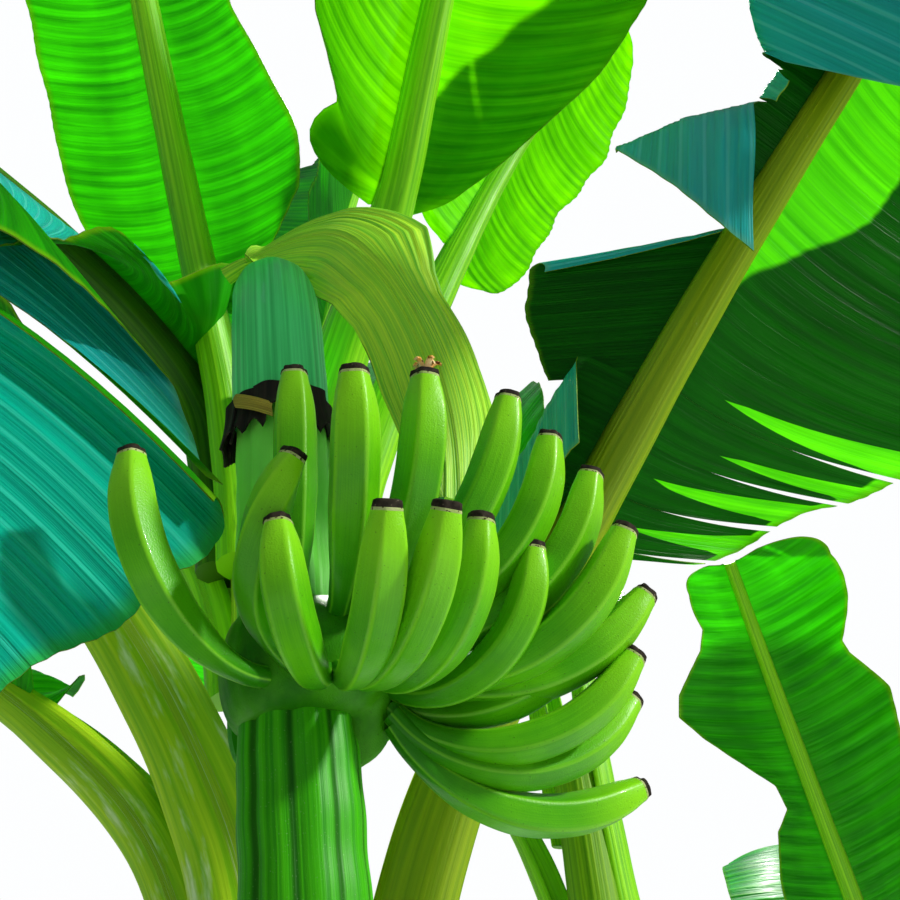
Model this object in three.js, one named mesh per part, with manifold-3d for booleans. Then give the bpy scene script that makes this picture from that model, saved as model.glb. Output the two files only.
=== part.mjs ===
// A banana plant in fruit: a mat with one bearing stem, a follower and a sucker.
// Millimetres, +Z up, origin in the flat ground cut under the bearing stem.
// The bunch hangs on the -Y side. Azimuths are in degrees counter-clockwise from +X.

import * as THREE from 'three';
import { mergeVertices } from 'three/addons/utils/BufferGeometryUtils.js';
import Module from 'manifold-3d';

const wasm = await Module();
wasm.setup();

const DEG = Math.PI / 180;

// The gap left where two pieces of the plant meet, and how far a leaf stalk starts inside its stem
const CLEARANCE = 0.35;
const SEAT = 3;

// Driving sizes of the three stems
const MOTHER = {
  foot: [0, 0], top: [-48, 0], height: 2220, footRadius: 112, topRadius: 60, flare: 34, flareHeight: 90,
};
const FOLLOWER = {
  foot: [128, 158], top: [292, 372], height: 1880, footRadius: 62, topRadius: 36, flare: 26, flareHeight: 80,
};
const SUCKER = {
  foot: [192, -34], top: [640, 430], height: 1330, footRadius: 46, topRadius: 27, flare: 18, flareHeight: 60,
};

// Driving sizes of the fruit stalk, which arches out of the crown and hangs in front
const STALK_RADIUS = 37;
const STALK_PLACE = [66, -403];
const ARCH_TOP = 2282;
const ARCH_DROP = 190;
const SHEATH_END = 2010;
const COLLAR_HEIGHT = 54;
const HAND_HEIGHT = 1768;
const ROW_RISE = 37;
const HAND_RADIUS = 47;
const SLOPE_STEP = 6.5;
const LOWER_HAND_HEIGHT = 1455;
const LOWER_HAND_SPAN = [-215, 35];
const LOWER_FINGERS = 10;
const LOWER_FINGER = [-8, 84, 165];
const STALK_END = 1130;
const BUD_LENGTH = 165;
const FRONT_FINGER_RADIUS = 14.2;
const UPPER_FINGER_RADIUS = 15.8;

// How finely pieces are faceted
const STEM_SIDES = 14;
const STEM_SHARES = [0, 0.02, 0.045, 0.08, 0.14, 0.3, 0.5, 0.7, 0.85, 1];
const BLADE_SHARES = [0.01, 0.06, 0.14, 0.26, 0.4, 0.54, 0.68, 0.8, 0.9, 0.96];
const STALK_SHARES = [0, 0.35, 0.7];
const FINGER_SIDES = 7;
const FINGER_BEND = 0.8;
const FINGER_SHARES = [0, 0.12, 0.28, 0.45, 0.62, 0.8, 0.93, 1];

const material = (color, roughness) => new THREE.MeshStandardMaterial({ color, roughness, metalness: 0 });
const STEM_GREEN = material(0x8a9a3c, 0.6);
const LEAF_GREEN = material(0x3f9a1e, 0.45);
const STALK_GREEN = material(0x2f7d1c, 0.5);
const FRUIT_GREEN = material(0x6fbf1f, 0.4);
const DRY_BROWN = material(0x2b2018, 0.9);
const BUD_PURPLE = material(0x6a2433, 0.5);

const plant = new THREE.Group();

// Small numeric helpers
const clamp01 = (x) => Math.min(1, Math.max(0, x));
const mix = (a, b, k) => a + (b - a) * k;

// The value at x of a line through keys [[x, value], ...]
function along(keys, x) {
  if (x <= keys[0][0]) return keys[0][1];
  for (let i = 1; i < keys.length; i += 1) {
    const [x0, y0] = keys[i - 1];
    const [x1, y1] = keys[i];
    if (x <= x1) return mix(y0, y1, (x - x0) / (x1 - x0));
  }
  return keys[keys.length - 1][1];
}

function heading(azimuth, elevation) {
  const a = azimuth * DEG;
  const e = elevation * DEG;
  return new THREE.Vector3(Math.cos(a) * Math.cos(e), Math.sin(a) * Math.cos(e), Math.sin(e));
}

// A closed body through rings of equal point count, with a fan on each end
function loft(rings, startHub, endHub) {
  const count = rings[0].length;
  const points = rings.flat();
  const hubOf = (ring) => ring.reduce((sum, p) => sum.add(p), new THREE.Vector3()).divideScalar(count);
  const faces = [];
  for (let i = 0; i + 1 < rings.length; i += 1) {
    for (let j = 0; j < count; j += 1) {
      const k = (j + 1) % count;
      const a = i * count + j;
      const b = i * count + k;
      faces.push([a, b, b + count], [a, b + count, a + count]);
    }
  }
  const start = points.push(startHub ?? hubOf(rings[0])) - 1;
  const end = points.push(endHub ?? hubOf(rings[rings.length - 1])) - 1;
  const last = (rings.length - 1) * count;
  for (let j = 0; j < count; j += 1) {
    const k = (j + 1) % count;
    faces.push([start, k, j], [end, last + j, last + k]);
  }
  const geometry = new THREE.BufferGeometry();
  const positions = points.flatMap((p) => [p.x, p.y, p.z]);
  geometry.setAttribute('position', new THREE.Float32BufferAttribute(positions, 3));
  geometry.setIndex(faces.flat());
  return geometry;
}

// Booleans
function toSolid(geometry) {
  const bare = new THREE.BufferGeometry();
  bare.setAttribute('position', geometry.getAttribute('position'));
  bare.setIndex(geometry.getIndex());
  const merged = mergeVertices(bare, 1e-3);
  return new wasm.Manifold(new wasm.Mesh({
    numProp: 3,
    vertProperties: new Float32Array(merged.getAttribute('position').array),
    triVerts: new Uint32Array(merged.getIndex().array),
  }));
}

function toGeometry(solid) {
  const mesh = solid.getMesh();
  const geometry = new THREE.BufferGeometry();
  geometry.setAttribute('position', new THREE.Float32BufferAttribute(mesh.vertProperties, 3));
  geometry.setIndex([...mesh.triVerts]);
  return geometry;
}

function cut(geometry, cutters) {
  return toGeometry(cutters.reduce((solid, cutter) => solid.subtract(toSolid(cutter)), toSolid(geometry)));
}

function addPart(name, geometry, look) {
  const mesh = new THREE.Mesh(geometry, look);
  mesh.name = name;
  plant.add(mesh);
}

// A run of directions, each at a share s of the length, walked into points
function walk(start, length, steps, azimuthAt, elevationAt) {
  const frames = [];
  const point = start.clone();
  for (let i = 0; i < steps.length; i += 1) {
    const s = steps[i];
    if (i > 0) {
      const pieces = 6;
      for (let j = 0; j < pieces; j += 1) {
        const m = mix(steps[i - 1], s, (j + 0.5) / pieces);
        point.addScaledVector(heading(azimuthAt(m), elevationAt(m)), (length * (s - steps[i - 1])) / pieces);
      }
    }
    const forward = heading(azimuthAt(s), elevationAt(s));
    const a = azimuthAt(s) * DEG;
    const right = new THREE.Vector3(Math.sin(a), -Math.cos(a), 0);
    const up = new THREE.Vector3().crossVectors(right, forward);
    frames.push({ s, point: point.clone(), forward, right, up });
  }
  return frames;
}

function spread(count) {
  return Array.from({ length: count }, (_, i) => i / (count - 1));
}

// A round bar whose radius follows the share s of its length
function bar(frames, radiusAt, sides, endRise = 0) {
  const rings = frames.map(({ s, point, right, up }) => Array.from({ length: sides }, (_, j) => {
    const turn = (-j / sides) * 2 * Math.PI;
    const r = radiusAt(s, turn);
    return point.clone().addScaledVector(right, r * Math.cos(turn)).addScaledVector(up, r * Math.sin(turn));
  }));
  const tip = frames[frames.length - 1];
  const endHub = tip.point.clone().addScaledVector(tip.forward, endRise);
  return loft(rings, undefined, endHub);
}

// Stems: horizontal rings from the flat ground cut to the crown
function stemAxis(stem, z) {
  const k = z / stem.height;
  return [mix(stem.foot[0], stem.top[0], k), mix(stem.foot[1], stem.top[1], k)];
}

function stemRadius(stem, z) {
  return mix(stem.footRadius, stem.topRadius, z / stem.height) + stem.flare * Math.exp(-z / stem.flareHeight);
}

function stemGeometry(stem, extra, bottom = 0) {
  const rings = STEM_SHARES.map((k) => {
    const z = k * stem.height;
    const [x, y] = stemAxis(stem, z);
    const r = stemRadius(stem, z) + extra;
    const level = k === 0 ? bottom : z + (k === 1 ? extra : 0);
    return Array.from({ length: STEM_SIDES }, (_, j) => {
      const turn = (j / STEM_SIDES) * 2 * Math.PI;
      return new THREE.Vector3(x + r * Math.cos(turn), y + r * Math.sin(turn), level);
    });
  });
  return loft(rings);
}

// A leaf: a channelled stalk that runs on as the rib of a blade, in one closed sheet.
// rise holds elevations, turn azimuths and roll twists about the rib, keyed to the share s
// of the whole length. fold holds the angles of a half-blade at the rib and at the margin,
// width a factor on the half-blade, both keyed to the share t of the blade, and left and
// right are as seen from the foot. columns is the number of strips in a half-blade. cuts
// are added shares where the outline jumps. A leaf that bends over hard is made as two
// pieces, each with its span of t.
function leafShares(leaf) {
  const [from, to] = leaf.span ?? [-1, 1];
  const join = leaf.stalk / (leaf.stalk + leaf.blade);
  const cuts = leaf.cuts ?? [];
  const clear = BLADE_SHARES.filter((t) => !cuts.some((mark) => Math.abs(t - mark) < 0.035));
  const inside = [...cuts, ...clear].filter((t) => t > from + 0.02 && t < to - 0.02);
  const stalk = from > 0 ? [] : STALK_SHARES.map((k) => k * join);
  const blade = [...(from > 0 ? [from] : []), ...inside, to].sort((a, b) => a - b);
  return { join, steps: stalk.concat(blade.map((t) => mix(join, 1, t))) };
}

function leafFrames(leaf) {
  const { join, steps } = leafShares(leaf);
  const total = leaf.stalk + leaf.blade;
  const azimuthAt = (s) => leaf.azimuth + along(leaf.turn ?? [[0, 0]], s);
  const elevationAt = (s) => along(leaf.rise, s);
  const start = leaf.start ? new THREE.Vector3(...leaf.start) : stemSide(leaf);
  const frames = walk(start, total, steps[0] > 0 ? [0, ...steps] : steps, azimuthAt, elevationAt);
  frames.forEach((frame) => {
    const roll = along(leaf.roll ?? [[0, 0]], frame.s) * DEG;
    frame.right.applyAxisAngle(frame.forward, -roll);
    frame.up.applyAxisAngle(frame.forward, -roll);
  });
  return { frames: steps[0] > 0 ? frames.slice(1) : frames, join, total };
}

// The place on the stem's skin where a leaf stalk springs
function stemSide(leaf) {
  const angle = (leaf.footAngle ?? leaf.azimuth) * DEG;
  const [x, y] = stemAxis(leaf.stem, leaf.foot);
  const out = stemRadius(leaf.stem, leaf.foot) - SEAT;
  return new THREE.Vector3(x + out * Math.cos(angle), y + out * Math.sin(angle), leaf.foot);
}

function bladeShape(t) {
  const base = Math.sqrt(Math.max(0, 1 - (1 - clamp01(t / 0.17)) ** 2));
  const tip = Math.sqrt(Math.max(0, 1 - clamp01((t - 0.5) / 0.5) ** 2));
  return base * tip;
}

function leafGeometry(leaf, extra = 0) {
  const { frames, join, total } = leafFrames(leaf);
  const halfThick = total / 200;
  const columns = leaf.columns ?? 2;
  const rings = frames.map(({ s, point, forward, right, up }) => {
    const t = (s - join) / (1 - join);
    const ribHalf = along([[0, leaf.ribFoot], [join, leaf.ribFoot * 0.72], [1, 7]], s) + extra;
    const growth = clamp01(t / 0.03);
    const halfBlade = (side) => {
      const fold = (side < 0 ? leaf.foldLeft : leaf.foldRight) ?? leaf.fold;
      const width = along((side < 0 ? leaf.widthLeft : leaf.widthRight) ?? [[0, 1]], t);
      const half = width * leaf.half * bladeShape(clamp01(t));
      const wing = mix(5, ribHalf * 0.35 + 4, clamp01(s / join));
      const wide = Math.max(half, wing) + extra;
      const first = mix(mix(20, 55, clamp01(s / join)), along(fold, t), growth) * DEG;
      const outer = along(fold.map(([k, , a]) => [k, a]), t);
      const last = mix(mix(25, 70, clamp01(s / join)), outer, growth) * DEG;
      const thick = Math.min(halfThick, wide * 0.4) + extra;
      const upper = [];
      const lower = [];
      let across = ribHalf * 0.8;
      let lift = 0;
      for (let c = 0; c <= columns; c += 1) {
        const angle = mix(first, last, c / columns);
        if (c > 0) {
          const middle = mix(first, last, (c - 0.5) / columns);
          across += (wide / columns) * Math.cos(middle);
          lift += (wide / columns) * Math.sin(middle);
        }
        const taper = c === columns ? thick * 0.6 : thick;
        const sweep = leaf.half * (leaf.sweep ?? 0.28) * (c / columns) ** 1.5 * clamp01(half / leaf.half);
        const place = (turn) => point.clone()
          .addScaledVector(right, side * (across - turn * taper * Math.sin(angle)))
          .addScaledVector(up, lift + turn * taper * Math.cos(angle))
          .addScaledVector(forward, sweep);
        upper.push(place(1));
        lower.push(place(-1));
      }
      return { upper, lower };
    };
    const left = halfBlade(-1);
    const rightSide = halfBlade(1);
    const ribPoint = (a, b) => {
      const aside = point.clone().addScaledVector(right, a * ribHalf);
      return aside.addScaledVector(up, b * ribHalf);
    };
    const grooveLift = Math.min(halfThick / ribHalf, 0.5) - 0.35 * (1 - growth);
    const groove = ribPoint(0, grooveLift).addScaledVector(up, 2 * extra);
    return [
      ...rightSide.lower.reverse(), ribPoint(0.6, -1), ribPoint(0, -1.25), ribPoint(-0.6, -1),
      ...left.lower, ...left.upper.reverse(), groove, ...rightSide.upper,
    ];
  });
  const hubIn = (frame) => frame.point.clone().addScaledVector(frame.up, -3);
  return loft(rings, hubIn(frames[0]), hubIn(frames[frames.length - 1]));
}

// The leaves of the three crowns
const OPEN_FOLD = [[0, 25, 0], [0.3, 12, -15], [1, 5, -25]];
const HANGING_LEAF = {
  stem: MOTHER, foot: 2100, footAngle: -156, azimuth: -126, stalk: 280, blade: 1300, half: 290, ribFoot: 40,
  turn: [[0, 0], [0.2, 18], [0.45, 26], [0.55, 38]],
  rise: [[0, 84], [0.12, 74], [0.2, 22], [0.3, -2], [0.44, -20], [0.53, -85], [1, -88]],
  foldLeft: [[0, -30, -70], [0.3, -60, -80], [0.36, -45, -45], [0.5, -20, -38], [1, -5, -20]],
  foldRight: [[0, 62, 45], [0.3, 55, 20], [0.4, 20, -20], [1, 5, -20]],
  widthLeft: [
    [0.3, 1], [0.4, 0.9], [0.514, 1.03], [0.524, 1.1], [0.57, 1.03], [0.62, 0.92], [0.71, 0.72], [0.85, 0.6],
    [1, 0.5],
  ],
  widthRight: [[0, 0.2], [0.12, 0.25], [0.2, 0.5], [0.3, 1]],
  cuts: [0.514, 0.524], sweep: 0.72,
};
const LEAVES = [
  {
    name: 'leaf_front', stem: MOTHER, foot: 2090, footAngle: -120, azimuth: -95.5, stalk: 350, blade: 1350,
    half: 172, ribFoot: 35, turn: [[0, 0], [1, 5]],
    rise: [[0, 85], [0.1, 72.5], [0.17, 59], [0.6, 60], [1, 35]],
    fold: [[0, 30, 0], [0.4, 20, -15], [1, 10, -20]], widthRight: [[0, 0.93]],
    widthLeft: [[0, 0.5], [0.09, 0.92], [0.14, 0.9], [0.2, 0.8], [0.3, 0.6], [0.5, 0.55]],
  },
  {
    name: 'leaf_front_right', stem: MOTHER, foot: 2100, footAngle: -38,
    azimuth: -37.5, stalk: 500, blade: 1270,
    half: 290, ribFoot: 40, turn: [[0, 0], [0.2, 0], [0.34, -17]],
    rise: [[0, 84.5], [0.1, 63.5], [0.2, 50.5], [0.6, 47.5], [1, 15]],
    foldLeft: [[0, -10, -35], [0.3, -5, -35], [1, 10, -20]],
    foldRight: [[0, -20, -50], [0.3, -20, -55], [1, 0, -30]],
    widthLeft: [[0, 0.35], [0.05, 0.5], [0.1, 0.65], [0.2, 0.92], [0.3, 1.03]],
    widthRight: [[0, 0.9], [0.2, 0.8], [0.4, 0.9]],
  },
  {
    name: 'leaf_right', stem: MOTHER, foot: 1490, footAngle: -25, azimuth: -30.5, stalk: 540, blade: 1450,
    half: 330, ribFoot: 38, turn: [[0, 0], [1, 2.5]],
    rise: [[0, 83], [0.1, 62], [0.2, 45], [0.7, 34.5], [1, 0]],
    foldLeft: [[0, 0, -20], [0.1, 0, -25], [0.3, -10, -45], [1, 0, -30]],
    foldRight: [
      [0, -10, -30], [0.12, 60, 60], [0.15, 75, 105], [0.3, 70, 100],
      [0.36, 70, -70], [0.8, 70, -70], [1, 0, -30],
    ],
    widthLeft: [[0, 1], [0.1, 1.1], [0.2, 1.3], [0.32, 1.5], [0.5, 1.3], [0.8, 1]],
    widthRight: [[0.04, 0.25], [0.12, 0.35], [0.16, 0.6], [0.29, 0.65], [0.36, 0.45], [0.8, 0.5]],
  },
  {
    name: 'leaf_right_high', stem: MOTHER, foot: 1980, footAngle: 22, azimuth: -6, stalk: 700, blade: 690,
    half: 215, ribFoot: 33, rise: [[0, 86], [0.1, 77], [0.2, 66], [0.6, 58], [1, 40]],
    foldLeft: [[0, 10, -15], [1, 0, -30]], foldRight: [[0, 45, 25], [0.4, 20, 0], [1, 0, -30]],
    widthRight: [[0, 0.8], [0.6, 0.75], [1, 1]],
  },
  {
    name: 'leaf_left_front_low', stem: MOTHER, foot: 1650, footAngle: -120,
    azimuth: -146, stalk: 520, blade: 1300,
    half: 250, ribFoot: 42, rise: [[0, 87], [0.08, 68], [0.22, 55], [0.4, 30], [0.65, 0], [1, -55]],
    fold: OPEN_FOLD,
  },
  {
    name: 'leaf_left_low', stem: MOTHER, foot: 1540, footAngle: -177, azimuth: 179, stalk: 520, blade: 1300,
    half: 240, ribFoot: 38, rise: [[0, 86], [0.12, 66], [0.2, 47], [0.6, 22], [1, -35]], fold: OPEN_FOLD,
  },
  {
    name: 'leaf_left_high', stem: MOTHER, foot: 1950, azimuth: 168, stalk: 350, blade: 1350, columns: 1,
    half: 260, ribFoot: 34, rise: [[0, 85], [0.1, 70], [0.2, 50], [0.6, 28], [1, -10]], fold: OPEN_FOLD,
  },
  {
    name: 'leaf_back_left', stem: MOTHER, foot: 1780, azimuth: 117, stalk: 400, blade: 1400, columns: 1,
    half: 270, ribFoot: 34, rise: [[0, 85], [0.1, 66], [0.2, 46], [0.6, 26], [1, -25]], fold: OPEN_FOLD,
  },
  {
    name: 'leaf_back', stem: MOTHER, foot: 2010, azimuth: 88, stalk: 350, blade: 1400, columns: 1,
    half: 235, ribFoot: 34, rise: [[0, 85], [0.1, 74], [0.2, 63], [0.6, 48], [1, 0]], fold: OPEN_FOLD,
  },
  {
    name: 'leaf_top', stem: MOTHER, foot: 2200, azimuth: 50, stalk: 300, blade: 1250, columns: 1,
    half: 190, ribFoot: 28, rise: [[0, 88], [0.2, 80], [0.6, 72], [1, 55]], fold: [[0, 60, 40], [1, 30, 10]],
  },
  {
    name: 'follower_leaf_right', stem: FOLLOWER, foot: 1700, footAngle: 10,
    azimuth: 25, stalk: 420, blade: 950,
    columns: 1, half: 165, ribFoot: 22, rise: [[0, 87], [0.28, 82], [0.42, 55], [0.7, 35], [1, -10]],
    fold: OPEN_FOLD,
  },
  {
    name: 'follower_leaf_back', stem: FOLLOWER, foot: 1690, footAngle: 85,
    azimuth: 84, stalk: 360, blade: 1050,
    columns: 1, half: 165, ribFoot: 22, rise: [[0, 85], [0.15, 74], [0.3, 62], [0.6, 45], [1, -10]],
    fold: OPEN_FOLD,
  },
  {
    name: 'follower_leaf_back_left', stem: FOLLOWER, foot: 1560, footAngle: 130, azimuth: 128, stalk: 340,
    blade: 950, columns: 1, half: 160, ribFoot: 22,
    rise: [[0, 85], [0.15, 72], [0.3, 52], [0.6, 25], [1, -30]],
    fold: OPEN_FOLD,
  },
  {
    name: 'follower_leaf_top', stem: FOLLOWER, foot: 1790, footAngle: 150,
    azimuth: 75, stalk: 280, blade: 950,
    columns: 1, half: 150, ribFoot: 18, rise: [[0, 88], [0.2, 82], [0.6, 68], [1, 45]],
    fold: [[0, 60, 40], [1, 30, 10]],
  },
  {
    name: 'sucker_leaf_front', stem: SUCKER, foot: 1180, footAngle: -60,
    azimuth: -106.5, stalk: 360, blade: 535,
    half: 110, ribFoot: 16, turn: [[0, 0], [1, 2.5]], rise: [[0, 68.5], [0.3, 66], [0.8, 65], [1, 57]],
    fold: OPEN_FOLD, columns: 3,
    widthLeft: [
      [0.1, 0.5], [0.3, 0.65], [0.4, 0.89], [0.6, 1.05], [0.7, 0.86], [0.73, 0.86], [0.8, 1.2], [0.9, 1.6],
      [0.95, 2], [1, 2.4],
    ],
    widthRight: [
      [0.2, 0.62], [0.3, 0.55], [0.4, 0.42], [0.45, 0.25], [0.5, 0.28], [0.6, 0.85], [0.65, 1.07], [0.7, 1.02],
      [0.8, 0.7], [0.85, 0.65], [0.93, 0.95], [1, 1.5],
    ],
  },
  {
    name: 'sucker_leaf_right', stem: SUCKER, foot: 1150, azimuth: 10, stalk: 240, blade: 700, columns: 1,
    half: 130, ribFoot: 16, rise: [[0, 76], [0.3, 52], [0.6, 20], [1, -40]], fold: OPEN_FOLD,
  },
  {
    name: 'sucker_leaf_back', stem: SUCKER, foot: 1230, azimuth: 80, stalk: 240, blade: 700, columns: 1,
    half: 130, ribFoot: 16, rise: [[0, 80], [0.3, 62], [0.6, 40], [1, -10]], fold: OPEN_FOLD,
  },
  { ...HANGING_LEAF, name: 'leaf_left_front', span: [-1, 0.32] },
  { ...HANGING_LEAF, name: 'leaf_left_front_tip', span: [0.3203, 1] },
];

// A leaf-like bract that is draped over the arch of the fruit stalk
const BRACT_LEAF = {
  name: 'hanging_bract', start: [-5, -335, 2285], azimuth: -12, stalk: 30, blade: 480, half: 65, ribFoot: 9,
  turn: [[0, 0], [0.25, -10], [0.5, 26], [1, 7]],
  rise: [[0, 20], [0.14, -2], [0.35, -62], [0.55, -74], [1, -100]],
  roll: [[0, -70], [0.3, -82], [1, -64]], fold: [[0, -5, -15], [1, -10, -20]], sweep: 0.1,
  widthLeft: [[0.17, 0.6], [0.25, 0.85], [0.32, 1.18], [0.42, 0.88], [0.67, 0.82], [1, 0.95]],
  widthRight: [[0.42, 1], [0.55, 0.82], [1, 0.8]], cuts: [0.32],
};

// The fruit stalk: a quarter of an ellipse up out of the crown and one down to the plumb stalk
function archFrames(from, to, count) {
  const [x0, y0] = MOTHER.top;
  const [x1, y1] = STALK_PLACE;
  const azimuth = Math.atan2(y1 - y0, x1 - x0);
  const reach = Math.hypot(x1 - x0, y1 - y0);
  const crown = MOTHER.height + CLEARANCE;
  return spread(count).map((share) => {
    const u = mix(from, to, share);
    const swing = u * Math.PI;
    const drop = u < 0.5 ? ARCH_TOP - crown : ARCH_DROP;
    const out = (reach / 2) * (1 - Math.cos(swing));
    const forwardOut = (reach / 2) * Math.sin(swing);
    const point = new THREE.Vector3(
      x0 + out * Math.cos(azimuth),
      y0 + out * Math.sin(azimuth),
      ARCH_TOP - drop * (1 - Math.sin(swing)),
    );
    const forward = new THREE.Vector3(
      forwardOut * Math.cos(azimuth),
      forwardOut * Math.sin(azimuth),
      drop * Math.cos(swing),
    ).normalize();
    const right = new THREE.Vector3(Math.sin(azimuth), -Math.cos(azimuth), 0);
    return { s: share, point, forward, right, up: new THREE.Vector3().crossVectors(right, forward) };
  });
}

function plumbFrames(top, bottom, count) {
  const azimuth = -90 * DEG;
  const right = new THREE.Vector3(Math.sin(azimuth), -Math.cos(azimuth), 0);
  const forward = new THREE.Vector3(0, 0, -1);
  const up = new THREE.Vector3().crossVectors(right, forward);
  return spread(count).map((s) => {
    const point = new THREE.Vector3(...STALK_PLACE, mix(top, bottom, s));
    return { s, point, forward, right, up };
  });
}

function stalkRadiusAt(z) {
  return along([[STALK_END, 13], [1300, 20], [1420, 33], [1600, 38], [HAND_HEIGHT, 38], [2010, 36]], z);
}

function archGeometry(extra) {
  const end = { ...plumbFrames(SHEATH_END, SHEATH_END, 2)[0], s: 1 };
  const frames = [...archFrames(0, 1, 11), end];
  return bar(frames, () => STALK_RADIUS + 4 + extra, 12);
}

function stalkGeometry(extra) {
  const top = SHEATH_END - CLEARANCE;
  const frames = plumbFrames(top, STALK_END, 9);
  return bar(frames, (s) => stalkRadiusAt(mix(top, STALK_END, s)) + extra, 16);
}

// A band round the stalk over a span of azimuths, with a rounded section. Towards the right
// it swells out and drops.
function bandGeometry({ from, to, z, high, thick, steps, swell = 0, drop = 0 }) {
  const inner = stalkRadiusAt(z) - 3;
  const rings = spread(steps).map((share) => {
    const azimuth = mix(from, to, share);
    const a = azimuth * DEG;
    const fade = 0.35 + 0.65 * Math.sin(Math.PI * clamp01(mix(0.04, 0.96, share))) ** 0.5;
    const out = (thick + 3 + swell * clamp01((azimuth + 80) / 40)) * fade;
    const middle = z - drop * clamp01((azimuth + 5) / 25);
    return spread(7).map((k) => {
      const turn = mix(-90, 90, k) * DEG;
      const r = inner + out * Math.cos(turn);
      return new THREE.Vector3(
        STALK_PLACE[0] + r * Math.cos(a),
        STALK_PLACE[1] + r * Math.sin(a),
        middle + (high / 2) * Math.sin(turn),
      );
    });
  });
  return loft(rings.reverse());
}

// Fingers: [azimuth of the foot, heading, elevation at the foot, elevation at the tip, length],
// front row then upper row. One finger's heading swings as it rises, by the angle at its end.
const FRONT_ROW = [
  [-98, -120, -5, 86, 182], [-66, -136, 24, 57, 150, 128], [-54, -93, -45, 87, 136], [-48, -64, -45, 57, 158],
  [-43, -53, -45, 54, 165], [-27, -43, -47, 68, 156], [6, -20, -40, 73, 164], [16, 6, -33, 52, 179],
  [10, 9, -50, 43, 198], [6, 23, -53, 39, 205], [8, 30, -60, 18, 206],
];
const UPPER_ROW = [
  [-73, -66, 78, 74, 179], [-45, -69, 1, 67, 169], [-27, -53, 2, 75, 177], [-21, -24, 6, 68, 189],
  [-8, -14, -14, 70, 199], [-3, -6, -25, 65, 214], [8, -11, -45, 54, 216], [9, 8, -39, 41, 214],
];

// The hand slopes down to the right: each finger past the first few sits a step lower
function fingerFoot(index, level, azimuth) {
  const drop = Math.max(0, index - (level === 0 ? 6 : 4)) * SLOPE_STEP;
  const out = HAND_RADIUS + 16 * clamp01((azimuth + 70) / 40);
  const z = HAND_HEIGHT + level * ROW_RISE - drop;
  const a = azimuth * DEG;
  return new THREE.Vector3(STALK_PLACE[0] + out * Math.cos(a), STALK_PLACE[1] + out * Math.sin(a), z);
}

function fingerGeometry(course, start, radius, sides, stations, extra = 0) {
  const [azimuth, footRise, tipRise, length, swing = 0] = course;
  const rise = (s) => mix(footRise, tipRise, clamp01((s - 0.05) / 0.85) ** FINGER_BEND);
  const frames = walk(start, length, stations, (s) => azimuth + swing * s, rise);
  const profile = [[0, 0.5], [0.13, 0.54], [0.3, 0.86], [0.5, 1], [0.8, 0.97], [0.93, 0.82], [1, 0.62]];
  return bar(frames, (s) => radius * along(profile, s) + extra, sides);
}

// The dried collar where the sheath of the stalk ends: a ring with a torn rim
function collarGeometry() {
  const inner = STALK_RADIUS + 0.6;
  const profile = [
    [inner, 0], [inner + 9, -4], [inner + 13, 18], [inner + 10, 44], [inner + 5, COLLAR_HEIGHT],
    [inner, COLLAR_HEIGHT - 6], [inner, 0],
  ].map(([r, z]) => new THREE.Vector2(r, z));
  const ring = new THREE.LatheGeometry(profile, 14);
  ring.rotateX(Math.PI / 2);
  ring.translate(...STALK_PLACE, SHEATH_END - COLLAR_HEIGHT - CLEARANCE);
  ring.deleteAttribute('uv');
  ring.deleteAttribute('normal');
  return mergeVertices(ring, 1e-3);
}

// The lower hand, whose fingers are joined with their cushion in one body. Each rises from -8 to
// 84 degrees over 165 mm.
function lowerHandGeometry() {
  const [from, to] = LOWER_HAND_SPAN;
  const cushion = bandGeometry({ from, to, z: LOWER_HAND_HEIGHT, high: 52, thick: 12, steps: 9 });
  const fingers = spread(LOWER_FINGERS).map((share) => {
    const azimuth = mix(from + 10, to - 10, share);
    const a = azimuth * DEG;
    const out = stalkRadiusAt(LOWER_HAND_HEIGHT) + 3;
    const start = new THREE.Vector3(
      STALK_PLACE[0] + out * Math.cos(a),
      STALK_PLACE[1] + out * Math.sin(a),
      LOWER_HAND_HEIGHT,
    );
    return fingerGeometry(
      [azimuth, ...LOWER_FINGER], start, UPPER_FINGER_RADIUS, 6, [0, 0.2, 0.45, 0.7, 0.93, 1]);
  });
  return cut(toGeometry(fingers.reduce((solid, f) => solid.add(toSolid(f)), toSolid(cushion))), [
    stalkGeometry(CLEARANCE),
  ]);
}

// The closed male bud on the end of the stalk
function budGeometry() {
  const frames = plumbFrames(STALK_END - CLEARANCE, STALK_END - BUD_LENGTH, 8);
  const profile = [[0, 14], [0.15, 32], [0.35, 42], [0.6, 37], [0.85, 20], [1, 5]];
  return bar(frames, (s) => along(profile, s), 12, 4);
}

const stems = new Map([[MOTHER, 'pseudostem'], [FOLLOWER, 'follower_stem'], [SUCKER, 'sucker_stem']]);
const placed = [];
stems.forEach((name, stem) => {
  addPart(name, cut(stemGeometry(stem, 0), placed), STEM_GREEN);
  placed.push(stemGeometry(stem, CLEARANCE, -1));
});
addPart('fruit_stalk_arch', cut(archGeometry(0), [stemGeometry(MOTHER, CLEARANCE, -1)]), STALK_GREEN);
const arch = archGeometry(CLEARANCE);
const stalks = [];
LEAVES.forEach((leaf) => {
  const whole = leafGeometry(leaf);
  const cutters = [stemGeometry(leaf.stem, CLEARANCE, -1), arch, ...stalks];
  addPart(leaf.name, cut(whole, (leaf.span ?? [-1])[0] > 0 ? [] : cutters), LEAF_GREEN);
  stalks.push(leafGeometry({ ...leaf, span: [-1, 0.1] }, CLEARANCE));
});

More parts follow.
